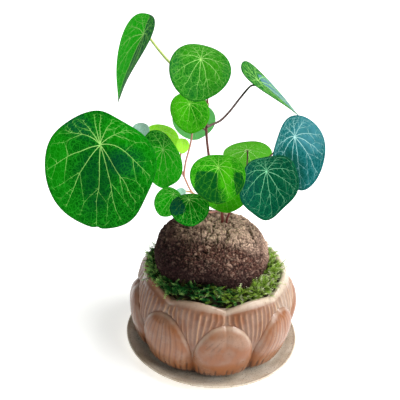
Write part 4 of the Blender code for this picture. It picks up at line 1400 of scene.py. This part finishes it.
@dataclass(frozen=True)
class Leaf:
    """One peltate blade, placed by its navel, where the stalk joins it from below."""

    name: str
    navel: tuple
    facing: tuple  # azimuth (0 is +X, 90 is +Y) and elevation of the upper side
    roll: float  # turn of the tip from straight down, towards the plant's left from the front
    length: float
    width: float
    tone: Tone
    fold: float = 5.0  # that each half rises from the midrib
    fold_gain: float = 0.0  # extra fold from base to tip
    twist: float = 0.0  # from base to tip
    curl: float = 0.0  # that each half turns on, from midrib to margin
    droop: float = 4.0  # that the tip bends back
    tuck: float = 2.0  # that the base bends back
    share: float = 0.28  # length above the navel, as a share of the whole
    point: float = 0.05  # how far the tip is drawn out, as a share of the radius
    egg: float = 0.05  # how much narrower it is towards the tip, and broader to the base
    lean: float = 0.0  # sideways shift towards the tip, as a share of the way there
    swells: tuple = ()  # (count, amount, angle where one is highest)
    approach: float = 7.0  # how far under the blade its stalk turns to meet it squarely
    wave: float = 0.5  # height of the margin's slow wave
    peak: float = 0.0  # how far the margin is drawn out above the navel
    notch: float = 0.0  # depth of the nick in the tip
    fan: Fan = Fan.COMMON
    # level: painted light all over above 0, and painted shade below
    level: float = 0.0  # lighter all over above 0, and darker below
    patches: tuple = ()
    dimple: float = 0.02  # depth of the hollow over the navel, as a share of the length

    def axes(self) -> tuple:
        """The blade's own directions.

        Returns:
            Unit vectors across it, along it to the tip, and out of its upper side.
        """
        azimuth, elevation = (math.radians(value) for value in self.facing)
        out = np.array([math.cos(elevation) * math.cos(azimuth),
                        math.cos(elevation) * math.sin(azimuth), math.sin(elevation)])
        down = np.array([0.0, 0.0, -1.0])
        along = unit(down - out * (down @ out))
        side = np.cross(along, out)
        turn = math.radians(self.roll)
        tip = math.cos(turn) * along + math.sin(turn) * side
        return np.cross(tip, out), tip, out

    def outline(self, angle: Array) -> tuple:
        """Flat outline about the navel: an egg-shaped round with a drawn tip and swells.

        Formula: the radius is 1 plus bells at the tip and the base and a cosine for each
        swell; the egg narrows the sine towards the tip, and the lean shears the whole.

        Args:
            angle: the outline's own angle in radians, 0 at the tip.

        Returns:
            Flat places across and along the blade.
        """
        radius = 1.0 + self.point * bell(angle, 0.35)
        radius = radius - 0.05 * bell(math.pi - np.abs(angle), 0.55)
        radius = radius + self.peak * bell(math.pi - np.abs(angle), 0.2)
        radius = radius - self.notch * bell(angle, 0.05)
        for count, amount, centre in self.swells:
            radius = radius + amount * np.cos(count * (angle - math.radians(centre)))
        u = 0.5 * self.width * radius * np.sin(angle) * (1.0 - self.egg * np.cos(angle))
        v = (0.5 - self.share) * self.length + 0.5 * self.length * radius * np.cos(angle)
        return u + self.lean * v, v

    def margin(self, direction: Array) -> tuple:
        """The outline in polar terms.

        Args:
            direction: radians about the navel, from the tip towards +u.

        Returns:
            The distance to the margin that way, and the outline's own angle there.
        """
        angle = np.linspace(-math.pi, math.pi, 721)
        u, v = self.outline(angle)
        seen = np.unwrap(np.arctan2(u, v))
        seen, far, own = (np.concatenate([value[:-1] - lap, value[:-1], value[:-1] + lap])
                          for value, lap in ((seen, 2 * math.pi), (np.hypot(u, v), 0.0),
                                             (angle, 2 * math.pi)))
        return np.interp(direction, seen, far), np.interp(direction, seen, own)

    def bend(self, u: Array, v: Array, reach: Array, angle: Array, lift: Array) -> Array:
        """Bends the flat blade into its place on the plant.

        Formula: both halves rise from the midrib by the fold, with a soft fold line, and turn
        on by the curl; the section turns by the twist; the margin waves as the sine of three
        times the angle; the navel sinks as the fourth power of the way in; and the blade rolls
        on a circle towards tip and base by the droop and the tuck.

        Args:
            u, v: flat places across and along the blade, from the navel.
            reach, angle: the same places as the share of the way to the margin, and the
                outline's own angle.
            lift: height over the blade's middle surface.

        Returns:
            Points of the part.
        """
        half = np.radians(self.fold + self.fold_gain * v / self.length)
        soft = 0.1 * self.width
        x = u * np.cos(half)
        h = np.sin(half) * (np.sqrt(u ** 2 + soft ** 2) - soft)
        h = h + 0.5 * math.radians(self.curl) * u ** 2 / (0.5 * self.width)
        turn = math.radians(self.twist) * v / self.length
        x, h = x * np.cos(turn) - h * np.sin(turn), x * np.sin(turn) + h * np.cos(turn)
        h = h + self.wave * reach ** 2 * np.sin(3.0 * angle + self.navel[0])
        h = h - self.dimple * self.length * np.clip(1.0 - reach, 0.0, 1.0) ** 4
        below = -math.radians(self.droop) / ((1.0 - self.share) * self.length) - 1e-7
        above = -math.radians(self.tuck) / (self.share * self.length) - 1e-7
        rate = np.where(v > 0.0, below, above)
        way = np.abs(v)
        y = (np.sin(rate * way) / rate - h * np.sin(rate * way)) * np.where(v < 0, -1.0, 1.0)
        z = (1.0 - np.cos(rate * way)) / rate + h * np.cos(rate * way) + lift
        return np.asarray(self.navel) + np.stack([x, y, z], axis=-1) @ np.array(self.axes())

    def tones(self, u: Array, v: Array) -> tuple:
        """The blade's painted light and shade and its painted sky reflection: its level with its
        patches.

        Args:
            u, v: flat places across and along the blade.

        Returns:
            The tone, 0 for the body's own green, and the blue from 0 to 2.
        """
        tone, blue = np.full_like(u, self.level), np.zeros_like(u)
        for patch in self.patches:
            share = patch.share(u / self.width, v / self.length)
            tone += patch.tone * share
            blue += patch.blue * share
        return tone, np.clip(blue, 0.0, 2.0)

    def under(self, distance: float) -> Array:
        """The point this far under the navel's dimple, where the stalk comes up."""
        return np.asarray(self.navel) - self.axes()[2] * (self.dimple * self.length + distance)


class Vein(Enum):
    """Half widths of a vein at its start and its end, on the largest leaf."""

    MAIN = (0.42, 0.18)
    FORK = (0.27, 0.17)
    TWIG = (0.21, 0.15)
    LOOP = (0.17, 0.16)
    RUNG = (0.18, 0.15)


@dataclass
class LeafBlade:
    """Builds one leaf: its blade with the quilting between the veins, and its veins."""

    leaf: Leaf
    thickness: float = 0.44
    pitch: float = 1.6  # between points of the largest blade's grid
    quilt: float = 0.3  # how far the blade swells between its veins
    quilt_from: float = 2.6  # distance from a bold vein at which it has swelled
    crease: float = 0.09  # depth of the blade along a fine vein
    proud: float = 0.05  # least height of a vein over the blade
    bold: float = 0.2  # half width above which a vein holds the blade down
    vein_sides: int = 5
    largest: float = 78.0  # length of the largest leaf
    reach: float = 0.93  # share of the way to the margin at which forks end
    fork_from: float = 0.16  # width of the narrowest forked sector, over the length
    twig_from: float = 26.0  # degrees of the narrowest sector with twigs
    loop_gaps: tuple = (3.0, 60.0)  # least and most degrees that a loop spans
    rung_step: float = 4.6
    rung_gap: float = 90.0  # most degrees that a rung crosses
    rung_least: float = 160.0  # degrees that a rung crosses, times its distance

    def __post_init__(self) -> None:
        """Draws the leaf's veins as soon as it is known."""
        self.draw = np.random.default_rng(sum(map(ord, self.leaf.name)))
        self.size = (self.leaf.length / self.largest) ** 0.6
        self.samples = int(8 + 0.08 * self.leaf.length)
        self.lines, self.widths = self.network()

    def flat(self, direction: Array, share: Array) -> Array:
        """Flat places from directions in degrees and shares of the way to the margin."""
        turn = np.radians(direction)
        way = np.stack([np.sin(turn), np.cos(turn)], axis=-1)
        return (share * self.leaf.margin(turn)[0])[..., None] * way

    def main_vein(self, start: float, end: float, reach: float) -> tuple:
        """A main vein, which turns less and less as it runs out, with a slight zigzag.

        Args:
            start, end: the directions in which it starts and ends, in degrees.
            reach: the share of the way to the margin at which it ends.

        Returns:
            Directions and shares along it.
        """
        t = np.linspace(0.0, 1.0, self.samples)
        kinks = self.draw.uniform(-2.2, 2.2, 7) * (0.0, 0.6, 1.0, 1.0, 1.0, 1.0, 0.4)
        zigzag = np.interp(t, np.linspace(0.0, 1.0, 7), kinks)
        return end + (start - end) * (1.0 - t) ** 1.7 + zigzag, reach * t

    def fork(self, main: tuple, at: float, end: float, reach: float) -> tuple:
        """A side vein that leaves a main vein and ends its own way.

        Args:
            main: directions and shares along the main vein.
            at: the share of its run at which the fork leaves it.
            end: the direction in which the fork ends, in degrees.
            reach: the share of the way to the margin at which it ends.

        Returns:
            Directions and shares along the fork.
        """
        t = np.linspace(0.0, 1.0, self.samples)
        here, from_share = (np.interp(at, t, values) for values in main)
        direction = end + (here - end) * (1.0 - t) ** 1.15
        return direction, from_share + (reach - from_share) * t ** 1.5

    def network(self) -> tuple:
        """All the leaf's veins on the flat blade.

        Returns:
            Lines, by vein and sample, and the half width at each end of every vein. Main veins
            come first, then the forks that meet between each two of them and run on, the loops
            that join all ends along the margin, and last the thin rungs across the sectors.
        """
        lines, widths, ends = [], [], []

        def add(kind: Vein, direction: Array, share: Array) -> None:
            """Adds a vein of a kind by its directions and shares."""
            lines.append((direction, share))
            widths.append(kind.value)

        jitter = 0.0 if self.leaf.fan is Fan.LARGE else 3.0
        mains = []
        for start, end, reach in self.leaf.fan.value:
            swing = self.draw.uniform(-jitter, jitter)
            mains.append(self.main_vein(start + swing, end + 1.2 * swing, reach))
        for direction, share in mains:
            add(Vein.MAIN, direction, share)
            ends.append((direction[-1], share[-1]))
        mains.sort(key=lambda main: main[0][-1] % 360.0)
        sectors = []
        t = np.linspace(0.0, 1.0, self.samples)
        for before, after in zip(mains, mains[1:] + mains[:1]):
            gap = (after[0][-1] - before[0][-1]) % 360.0
            sectors.append((before, after))
            far = self.leaf.margin(np.radians(before[0][-1] + 0.5 * gap))[0]
            if math.radians(gap) * far < self.fork_from * self.leaf.length:
                continue
            part = self.draw.uniform(0.4, 0.6)
            meet = self.draw.uniform(0.66, 0.78)
            for main, turn in ((before, gap * part), (after, gap * (part - 1.0))):
                at = meet - self.draw.uniform(0.08, 0.26)
                end = main[0][-1] + turn
                add(Vein.FORK, *self.fork(main, at, end, meet))
                if gap > self.twig_from:
                    aside = main[0][-1] + turn * self.draw.uniform(0.35, 0.5)
                    add(Vein.TWIG, *self.fork(main, at + 0.22, aside, self.reach))
                    ends.append((aside, self.reach))
            add(Vein.TWIG, end + self.draw.uniform(-4.0, 4.0) * t,
                meet + (self.reach - meet) * t)
            ends.append((end, self.reach))
        ends.sort(key=lambda value: value[0] % 360.0)
        for (first, low), (second, high) in zip(ends, ends[1:] + ends[:1]):
            gap = (second - first) % 360.0
            if self.loop_gaps[0] < gap < self.loop_gaps[1]:
                share = 0.96 * (low + (high - low) * t) + 0.045 * np.sin(math.pi * t)
                add(Vein.LOOP, first + gap * t, share)
        apart = self.rung_step / (0.5 * self.leaf.length + 8.0)
        for first, second in sectors:
            for step in np.arange(0.2, 0.86, apart):
                low = step + self.draw.uniform(-0.02, 0.02)
                high = low + self.draw.uniform(-0.05, 0.07)
                a = np.interp(low, first[1], first[0])
                b = a + (np.interp(high, second[1], second[0]) - a) % 360.0
                wide = (b - a) * low * self.leaf.length
                if b - a > self.rung_gap or wide < self.rung_least:
                    continue
                kink = self.draw.uniform(0.35, 0.65)
                bow = np.minimum(t / kink, (1.0 - t) / (1.0 - kink))
                add(Vein.RUNG, a + (b - a) * t, low + (high - low) * t + 0.05 * bow)
        directions, shares = (np.array(values) for values in zip(*lines))
        return self.flat(directions, shares), np.array(widths) * self.size

    def nearest(self, places: Array, lines: Array) -> Array:
        """Distances to veins, each measured square to the vein's nearest segment.

        Args:
            places: flat places on the blade.
            lines: points by vein and sample.

        Returns:
            The distance from each place to the nearest segment of any line.
        """
        start = lines[:, :-1].reshape(-1, 2).astype(np.float32)
        step = (lines[:, 1:] - lines[:, :-1]).reshape(-1, 2).astype(np.float32)
        square = (step ** 2).sum(1) + 1e-9
        best = np.full(len(places), 1e9, np.float32)
        for part in np.array_split(np.arange(len(start)), 24):
            off = places[:, None].astype(np.float32) - start[part]
            along = np.clip((off * step[part]).sum(-1) / square[part], 0.0, 1.0)
            away = np.linalg.norm(off - along[..., None] * step[part], axis=-1)
            best = np.minimum(best, away.min(axis=1))
        return best

    def blade(self) -> Surface:
        """The blade, a grid of rings and spokes on both sides of its middle surface.

        Returns:
            A closed surface from the navel's top, out over the rounded margin and back to its
            underside, with the fields tone, blue, near, under and reach and a flat map.
        """
        leaf = self.leaf
        pitch = self.pitch * self.size
        spokes = int(math.pi * 0.5 * (leaf.length + leaf.width) / pitch)
        rings = int(0.5 * leaf.length / pitch * 1.4)
        out = np.linspace(0.02, 1.0, rings) ** 0.92
        reach = np.concatenate([out, [1.0 + 0.3 * self.thickness / leaf.length], out[::-1]])
        side = np.concatenate([np.ones(rings), [0.0], -np.ones(rings)])
        side[rings - 1], side[rings + 1] = 0.75, -0.75
        angle = np.linspace(-math.pi, math.pi, spokes, endpoint=False)[None]
        reach = reach[:, None] + 0.0 * angle
        edge_u, edge_v = leaf.outline(angle)
        u, v = reach * edge_u, reach * edge_v
        places = np.stack([u, v], axis=-1).reshape(-1, 2)
        strong = self.widths[:, 0] > self.bold * self.size
        big = self.nearest(places, self.lines[strong]).reshape(u.shape)
        small = self.nearest(places, self.lines[~strong]).reshape(u.shape)
        swell = self.quilt * self.size * ease(big / self.quilt_from) * (1.0 - reach ** 8)
        swell = swell - self.crease * bell(small, 0.6)
        lift = swell + 0.5 * self.thickness * side[:, None]
        points = leaf.bend(u, v, reach, angle + 0.0 * reach, lift)
        tone, blue = leaf.tones(u, v)
        near = np.maximum(bell(big, 1.1 * self.size), 0.35 * bell(small, 0.5))
        under = np.broadcast_to((side < 0.0)[:, None], u.shape).astype(float)
        return skin(points, tone=tone, blue=blue, near=near, under=under,
                    reach=np.clip(reach, 0.0, 1.0), flat=np.stack([u, v], axis=-1))

    def veins(self) -> Surface:
        """The veins, each an ellipse carried along its line through the blade's thickness.

        Returns:
            Closed tubes a little proud on both sides, with the fields fade, tone and under.
        """
        leaf = self.leaf
        lines = self.lines
        t = np.linspace(0.0, 1.0, self.samples)
        wide = self.widths[:, :1] + (self.widths[:, 1:] - self.widths[:, :1]) * t ** 0.7
        along = unit(np.gradient(lines, axis=1) + 1e-9)
        aside = np.stack([along[..., 1], -along[..., 0]], axis=-1)
        turn = around(self.vein_sides)
        flat = lines[:, :, None] + (wide[..., None] * np.cos(turn))[..., None] * aside[:, :, None]
        tall = 0.5 * self.thickness + self.proud + 0.32 * wide
        lift = tall[..., None] * np.sin(turn)
        direction = np.arctan2(flat[..., 0], flat[..., 1])
        far, angle = leaf.margin(direction)
        reach = np.clip(np.hypot(flat[..., 0], flat[..., 1]) / far, 0.0, 1.0)
        points = leaf.bend(flat[..., 0], flat[..., 1], reach, angle, lift)
        strength = np.clip(self.widths[:, :1] / (Vein.MAIN.value[0] * self.size), 0.0, 1.0)
        fade = np.clip(0.85 - 0.85 * strength + 0.45 * t ** 1.3, 0.0, 0.9)
        fades = np.repeat(fade[:, :, None], self.vein_sides, axis=2)
        tones = leaf.tones(flat[..., 0], flat[..., 1])[0]
        under = np.broadcast_to((np.sin(turn) < -0.1).astype(float), tones.shape[1:])
        return Surface.joined([skin(rows, fade=values, tone=shades, under=under)
                               for rows, values, shades in zip(points, fades, tones)])

    def build(self, finish: dict) -> None:
        """Makes the blade and its veins, both in place of the leaf's node.

        Args:
            finish: for each tone, the materials of blade and veins.
        """
        blade, veins = finish[self.leaf.tone]
        name, slot = self.leaf.name, self.leaf.tone.value.slot
        self.blade().piece(f"{name}_blade", blade, slot, name)
        self.veins().piece(f"{name}_veins", veins, slot, name)


# each leaf's level and patches are painted light, shade and sky reflection
LEAVES = (
    Leaf("leaf_left_large", (-82.4, -46, 187.4), (-98, 17), -2, 78, 77, Tone.DEEP, fold=1,
         curl=-3, droop=5, share=0.29, point=0.08, egg=0.02,
         swells=((5, 0.026, 36), (4, 0.02, -22), (7, 0.006, 20)), wave=1.0, fan=Fan.LARGE,
         peak=0.02, notch=0.03,
         patches=(Patch(0.03, 0.3, 0.19, 0.32, -0.6), Patch(-0.24, 0.12, 0.15, 0.12, -0.5, 0.3),
                  Patch(0.22, -0.17, 0.17, 0.09, -0.5, 0.4, turn=-30.0),
                  Patch(-0.2, -0.13, 0.22, 0.14, 0.8), Patch(-0.44, 0.12, 0.14, 0.2, 0.5),
                  Patch(0.42, 0.12, 0.14, 0.24, 0.9), Patch(0.3, 0.5, 0.16, 0.2, 0.4))),
    Leaf("leaf_top_left", (-64, 24, 244.5), (207, 25), -2, 65, 52, Tone.MID, fold=12,
         twist=-18, droop=6, tuck=0, share=0.26, point=0.08, lean=-0.06,
         swells=((3, 0.03, -15),), approach=4.0, level=0.75,
         patches=(Patch(-0.5, 0.2, 0.49, 1.2, -1.35, 0.3, 0.12, square=8.0),
                  Patch(0.26, 0.05, 0.2, 0.35, 0.3))),
    Leaf("leaf_top", (-19.5, -18, 241.8), (-80, 32), 8, 38, 41, Tone.FRESH, lean=0.03,
         swells=((3, 0.02, 20),), level=0.15,
         patches=(Patch(0.1, 0.42, 0.14, 0.32, -0.35), Patch(-0.05, 0.62, 0.2, 0.14, -0.25),
                  Patch(0.46, 0.15, 0.12, 0.35, -0.2, 0.3),
                  Patch(-0.46, 0.15, 0.1, 0.35, -0.1, 0.2), Patch(0.0, -0.1, 0.4, 0.22, 0.3),
                  Patch(-0.2, 0.2, 0.25, 0.2, 0.35))),
    Leaf("leaf_top_right", (22.5, 34, 212.8), (2, 53), -18, 65, 52, Tone.FRESH, fold=5,
         fold_gain=-5, twist=11, curl=-2, droop=10, tuck=9, share=0.30,
         swells=((3, 0.03, 40),), approach=3.0, level=-0.6,
         patches=(Patch(0.03, 0.47, 0.47, 0.3, 0.5, 2.0, 0.15, 36.3, 6.0),)),
    Leaf("leaf_right", (51, 8, 180.8), (-54, 19), -3, 55, 49, Tone.BLUE, fold=8,
         swells=((3, 0.05, 75), (4, 0.03, -11)),
         patches=(Patch(0.3, 0.5, 0.4, 0.4, -0.9), Patch(-0.25, 0.0, 0.3, 0.3, 0.5))),
    Leaf("leaf_right_front", (29, -48, 177.8), (-71, 29), -2, 40, 44, Tone.TEAL, fold=14,
         point=0.1, share=0.27, lean=0.09, swells=((5, 0.03, 0), (2, 0.035, 30)),
         patches=(Patch(0.4, 0.1, 0.22, 0.4, -0.4, 0.35), Patch(-0.15, 0.2, 0.2, 0.3, 0.2))),
    Leaf("leaf_centre", (-3, -60, 183.8), (-88, 31), 0, 32, 36, Tone.LIME, fold=7, share=0.29,
         swells=((3, 0.012, -15),), level=0.05,
         patches=(Patch(0.2, 0.4, 0.21, 0.31, -1.1, 0.0, 0.15, square=5.0),
                  Patch(-0.06, 0.62, 0.12, 0.2, -0.8, 0.0, 0.4),
                  Patch(-0.4, 0.34, 0.09, 0.27, -1.1, 0.0, 0.2, 12.0, 4.0),
                  Patch(-0.16, 0.2, 0.12, 0.5, 0.45))),
    Leaf("leaf_centre_low", (1, -35, 160), (-84, 60), -4, 31, 34, Tone.LIME, fold=6,
         level=0.45),
    Leaf("leaf_right_back", (18, 40, 154.4), (95, 40), 10, 46, 39, Tone.LIME, fold=4,
         share=0.30, lean=-0.04, swells=((3, 0.03, 60),), level=0.3),
    Leaf("leaf_left_mid", (-42.4, -26, 178.4), (-112, 16), -2, 38, 32, Tone.MID, fold=13,
         share=0.32, lean=-0.16, swells=((3, 0.085, 37), (2, 0.03, -35)), level=1.0,
         patches=(Patch(0.15, -0.25, 0.4, 0.2, -1.0, 0.1), Patch(-0.2, 0.2, 0.25, 0.3, 0.3))),
    Leaf("leaf_left_back", (-46, 8, 177), (-79, 24), 14, 24, 27, Tone.SPRING, share=0.26,
         level=0.3),
    Leaf("leaf_bud_left", (-30, -10, 178), (-66, 32), 11, 11, 10, Tone.SPRING, fold=9,
         share=0.30, wave=0.2, fan=Fan.YOUNG, level=1.0),
    Leaf("leaf_upper", (-26.4, -4, 204.8), (-79, 31), 7, 28, 28, Tone.LIME, share=0.30,
         lean=-0.11, level=0.3, patches=(Patch(-0.26, 0.13, 0.2, 0.3, -0.35),
                                          Patch(0.25, 0.1, 0.2, 0.4, 0.2))),
    Leaf("leaf_upper_back", (-24.8, 22, 187.8), (96, 21), 7, 35, 32.5, Tone.TEAL),
    Leaf("leaf_low_left", (-32.5, -44, 153.8), (-110, 34), 21, 21, 20, Tone.MID, fold=6,
         share=0.20, level=0.55),
    Leaf("leaf_low_front", (-21, -60, 158.9), (-86, 44), -7, 22, 26, Tone.DEEP, share=0.21,
         patches=(Patch(0.34, 0.17, 0.2, 0.27, -1.5, 0.5, 0.15, 20.0, 4.0),
                  Patch(-0.2, 0.2, 0.3, 0.4, 0.3))),
    Leaf("leaf_young_back", (-60, -8, 187), (-80, 30), 0, 11, 12, Tone.PALE, wave=0.2,
         fan=Fan.YOUNG),
    Leaf("leaf_young_low", (-29, -20, 145), (-80, 40), 0, 7, 7, Tone.PALE, wave=0.1,
         fan=Fan.YOUNG),
)


@dataclass(frozen=True)
class Shoot:
    """A stem or a leaf's stalk: the points that it passes, and its radius and colours."""

    name: str
    node: str
    way: tuple
    start_r: float
    end_r: float
    foot: tuple
    tip: tuple
    leaf: str = ""
    samples: int = 8  # to a span of its way
    sides: int = 14

    def surface(self, leaves: dict) -> Surface:
        """A smooth tapering tube; a leaf's stalk is also thicker where it leaves its stem and
        where it ends.

        Args:
            leaves: the leaves by name; a stalk goes on to the navel of its own.

        Returns:
            The tube, with its colours in the field skin.
        """
        way = list(self.way)
        if self.leaf:
            leaf = leaves[self.leaf]
            way += [leaf.under(min(leaf.approach, 0.25 * leaf.length)), leaf.under(0.1)]
        line = spline(tuple(map(tuple, way)), self.samples)
        t = np.linspace(0.0, 1.0, len(line))
        radius = self.start_r + (self.end_r - self.start_r) * t
        if self.leaf:
            radius = radius * (1.0 + 0.5 * bell(t, 0.04) + 0.35 * bell(1.0 - t, 0.03))
        radius = radius * (1.0 + 0.05 * slow_noise(line, 3.0, 91))
        colour = np.array(self.foot) + (np.array(self.tip) - self.foot) * ease(t)[:, None]
        return tube(line, radius, self.sides, skin=colour)

    def build(self, leaves: dict, finish: Finish) -> None:
        """Makes the shoot, one of those in place of its node."""
        self.surface(leaves).piece(self.name, finish, "red_stem", self.node)


RED = tint(128, 62, 58)
RED_DARK = tint(96, 46, 46)
ROSE = tint(196, 128, 120)
AMBER = tint(214, 160, 120)
GREEN = tint(150, 180, 90)
YELLOW = tint(204, 216, 128)
BROWN = tint(92, 64, 58)
LEAD = tint(58, 50, 50)

STEMS = (
    Shoot("stem_trunk", "stem_main",
          ((2.4, 4.9, 105.0), (2.4, 4.9, 109.5), (1.9, 1.6, 115), (1.3, -1.4, 121),
           (-3, -6, 136), (-8, -6, 152), (-11, -4, 167), (-13, -2, 178), (-14, 0, 187),
           (-14, 2, 196), (-14, 3.5, 204)), 1.2, 0.85, RED, RED_DARK),
    Shoot("stem_left_branch", "stem_main",
          ((0.1, -3.6, 128), (-8, -9, 131.5), (-15, -13, 136), (-22, -14, 142),
           (-29, -12, 155), (-36, -7, 163), (-46, -5, 168)), 0.75, 0.65, AMBER, ROSE),
    Shoot("stem_right_trunk", "stem_right",
          ((5.7, 5.2, 105.0), (5.7, 5.2, 109.5), (6.6, 1.8, 115), (8.0, -1.0, 121),
           (12, -4, 135), (17, -2, 147)), 0.95, 0.8, RED, RED_DARK),
)

STALKS = {
    "stem_main": (
        ("leaf_top_left", ((-14, 3.2, 202), (-23, 9, 213), (-34, 15, 220.5), (-44, 20, 227),
                           (-52, 24, 234)), GREEN, YELLOW, 1.6),
        ("leaf_top", ((-14, 2.8, 200), (-15, 4, 215), (-18, 1, 228)), RED, GREEN),
        ("leaf_top_right", ((-14, 0, 187), (-9, 3, 188.5), (-4, 6, 190.5), (1, 10, 195),
                            (5, 14, 199.5), (9, 19, 204), (15.5, 27.5, 210)), BROWN, LEAD,
         1.3),
        ("leaf_upper_back", ((-13.6, -0.5, 184), (-16, 6, 183)), RED, BROWN),
        ("leaf_centre", ((-6, -6, 146), (-4, -17, 160), (-3, -38, 172)), RED, ROSE),
        ("leaf_centre_low", ((0.6, -2.6, 125), (1, -16, 138), (1, -27, 147)), RED, ROSE),
        ("leaf_low_front", ((1.2, -1.5, 122), (-5, -16, 127), (-15, -36, 138)), RED, AMBER),
        ("leaf_left_large", ((-44, -5.3, 167.4), (-56, -9, 173), (-68, -18, 179)), ROSE,
         GREEN),
        ("leaf_left_mid", ((-29, -12, 155), (-34, -12, 165)), ROSE, GREEN),
        ("leaf_left_back", ((-31, -10.7, 157), (-38, 2, 157), (-46, 12, 161)), ROSE, GREEN),
        ("leaf_bud_left", ((-32, -9.8, 159), (-31, -7, 168)), ROSE, GREEN),
        ("leaf_upper", ((-28, -12.4, 153), (-27, -9, 163), (-25, -4, 172), (-24, 0, 181),
                        (-25, 4, 190)), ROSE, ROSE),
        ("leaf_low_left", ((-20, -13.8, 140), (-25, -23, 138), (-29, -32, 142)), AMBER,
         AMBER),
        ("leaf_young_back", ((-45, -5, 168), (-53, -4, 173), (-59, -2, 180)), ROSE, GREEN),
        ("leaf_young_low", ((-21, -14, 141), (-25.5, -15, 142)), AMBER, GREEN)),
    "stem_right": (
        ("leaf_right", ((16.7, -2.2, 146), (26, 6, 155), (38, 20, 163)), RED, BROWN),
        ("leaf_right_front", ((17, -2, 147), (21, -14, 156), (25, -28, 166)), RED, ROSE),
        ("leaf_right_back", ((14, -3.2, 140), (16, 8, 139), (18, 22, 141)), RED, BROWN)),
}


@dataclass
class Plant:
    """Everything that grows: the stems, the stalks and the leaves on them."""

    stalk_r: tuple = (0.68, 0.58)

    def build_shoots(self) -> None:
        """Makes the stems and one stalk for every leaf."""
        leaves = {leaf.name: leaf for leaf in LEAVES}
        finish = StemSkin().material()
        for stem in STEMS:
            stem.build(leaves, finish)
        for node, stalks in STALKS.items():
            for leaf, way, foot, tip, *thicker in stalks:
                radii = (value * (thicker[0] if thicker else 1.0) for value in self.stalk_r)
                stalk = Shoot(leaf.replace("leaf", "stalk"), node, way, *radii, foot, tip, leaf)
                stalk.build(leaves, finish)

    def build_leaves(self) -> None:
        """Makes every leaf, in the two materials of its tone."""
        finish = {tone: (tone.value.blade(), tone.value.veins()) for tone in Tone}
        for leaf in LEAVES:
            LeafBlade(leaf).build(finish)


@dataclass
class Studio:
    """A pale glowing floor, soft light from the right, and the photograph's camera."""

    eye: tuple = (0.0, -484.0, 382.0)
    down: float = 27.7  # degrees that the camera looks down
    left: float = 1.84
    roll: float = 3.25
    focal: float = 1.815  # focal length over the frame's width
    sensor: float = 36.0
    floor_half: float = 30.0  # metres
    floor_colour: tuple = tint(246, 246, 245)
    floor_cloud: tuple = tint(240, 240, 238)
    floor_glow: float = 0.55
    sky: float = 0.36
    key: float = 2.9
    key_spread: float = 50.0  # degrees
    key_place: tuple = (0.9, -0.2, 0.9)
    gloss: float = 14.0
    gloss_size: float = 0.5
    gloss_place: tuple = (0.9, 0.1, 1.5)
    aim: tuple = (0.0, 0.0, 0.1)

    def build_floor(self) -> None:
        """Lays the floor, in a matte white with a hardly visible cloud."""
        mesh = bpy.data.meshes.new("floor")
        far = self.floor_half
        corners = [(-far, -far, 0.0), (far, -far, 0.0), (far, far, 0.0), (-far, far, 0.0)]
        mesh.from_pydata(corners, [], [(0, 1, 2, 3)])
        paint = Paint("studio_floor", self.floor_colour)
        cloud = paint.noise(paint.place(), 300.0)
        paint.over(self.floor_cloud, paint.between(cloud, 0.3, 0.7, 0.0, 0.3))
        mesh.materials.append(paint.dress(Roughness=0.9, Specular_IOR_Level=0.1,
                                          Emission_Color=self.floor_colour,
                                          Emission_Strength=self.floor_glow))
        floor = bpy.data.objects.new("floor", mesh)
        bpy.context.scene.collection.objects.link(floor)

    def hang(self, light: bpy.types.Light, place: tuple) -> None:
        """Hangs a light and turns it to the plant.

        Args:
            light: the light.
            place: where it hangs, in metres.
        """
        made = bpy.data.objects.new(light.name, light)
        made.location = place
        way = Vector(self.aim) - Vector(place)
        made.rotation_euler = way.to_track_quat("-Z", "Y").to_euler()
        bpy.context.scene.collection.objects.link(made)

    def build_light(self) -> None:
        """A broad even key from the upper right, a small one for gloss, and a soft sky."""
        key = bpy.data.lights.new("key", "SUN")
        key.energy = self.key
        key.angle = math.radians(self.key_spread)
        self.hang(key, self.key_place)
        gloss = bpy.data.lights.new("gloss", "AREA")
        gloss.size = self.gloss_size
        gloss.energy = self.gloss
        self.hang(gloss, self.gloss_place)
        world = bpy.data.worlds.new("studio")
        world.use_nodes = True
        background = world.node_tree.nodes["Background"]
        background.inputs["Color"].default_value = (1.0, 1.0, 1.0, 1.0)
        background.inputs["Strength"].default_value = self.sky
        bpy.context.scene.world = world
        bpy.context.scene.view_settings.view_transform = "Standard"

    def build_camera(self) -> None:
        """Sets the camera: it looks down and a little to the left, and is rolled slightly."""
        down, left, roll = (math.radians(value) for value in (self.down, self.left, self.roll))
        ahead = Vector((-math.sin(left) * math.cos(down), math.cos(left) * math.cos(down),
                        -math.sin(down)))
        level = Vector((math.cos(left), math.sin(left), 0.0))
        upright = level.cross(ahead)
        right = math.cos(roll) * level + math.sin(roll) * upright
        top = math.cos(roll) * upright - math.sin(roll) * level
        camera = bpy.data.cameras.new("camera")
        camera.sensor_width = self.sensor
        camera.lens = self.focal * self.sensor
        made = bpy.data.objects.new("camera", camera)
        turn = Matrix((right, top, -ahead)).transposed()
        made.matrix_world = Matrix.Translation(Vector(self.eye) * MM) @ turn.to_4x4()
        bpy.context.scene.collection.objects.link(made)
        bpy.context.scene.camera = made


def main() -> None:
    """Builds every piece in order."""
    logging.basicConfig(level=logging.INFO, format="%(name)s: %(message)s")
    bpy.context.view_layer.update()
    studio = Studio()
    studio.build_camera()
    studio.build_light()
    studio.build_floor()
    pot = PetalPot()
    caudex = Caudex()
    Saucer().build()
    pot.build()
    Soil().build()
    caudex.build()
    MossBed(pot, caudex).build()
    plant = Plant()
    plant.build_shoots()
    plant.build_leaves()
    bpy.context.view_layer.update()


if __name__ == "__main__":
    main()
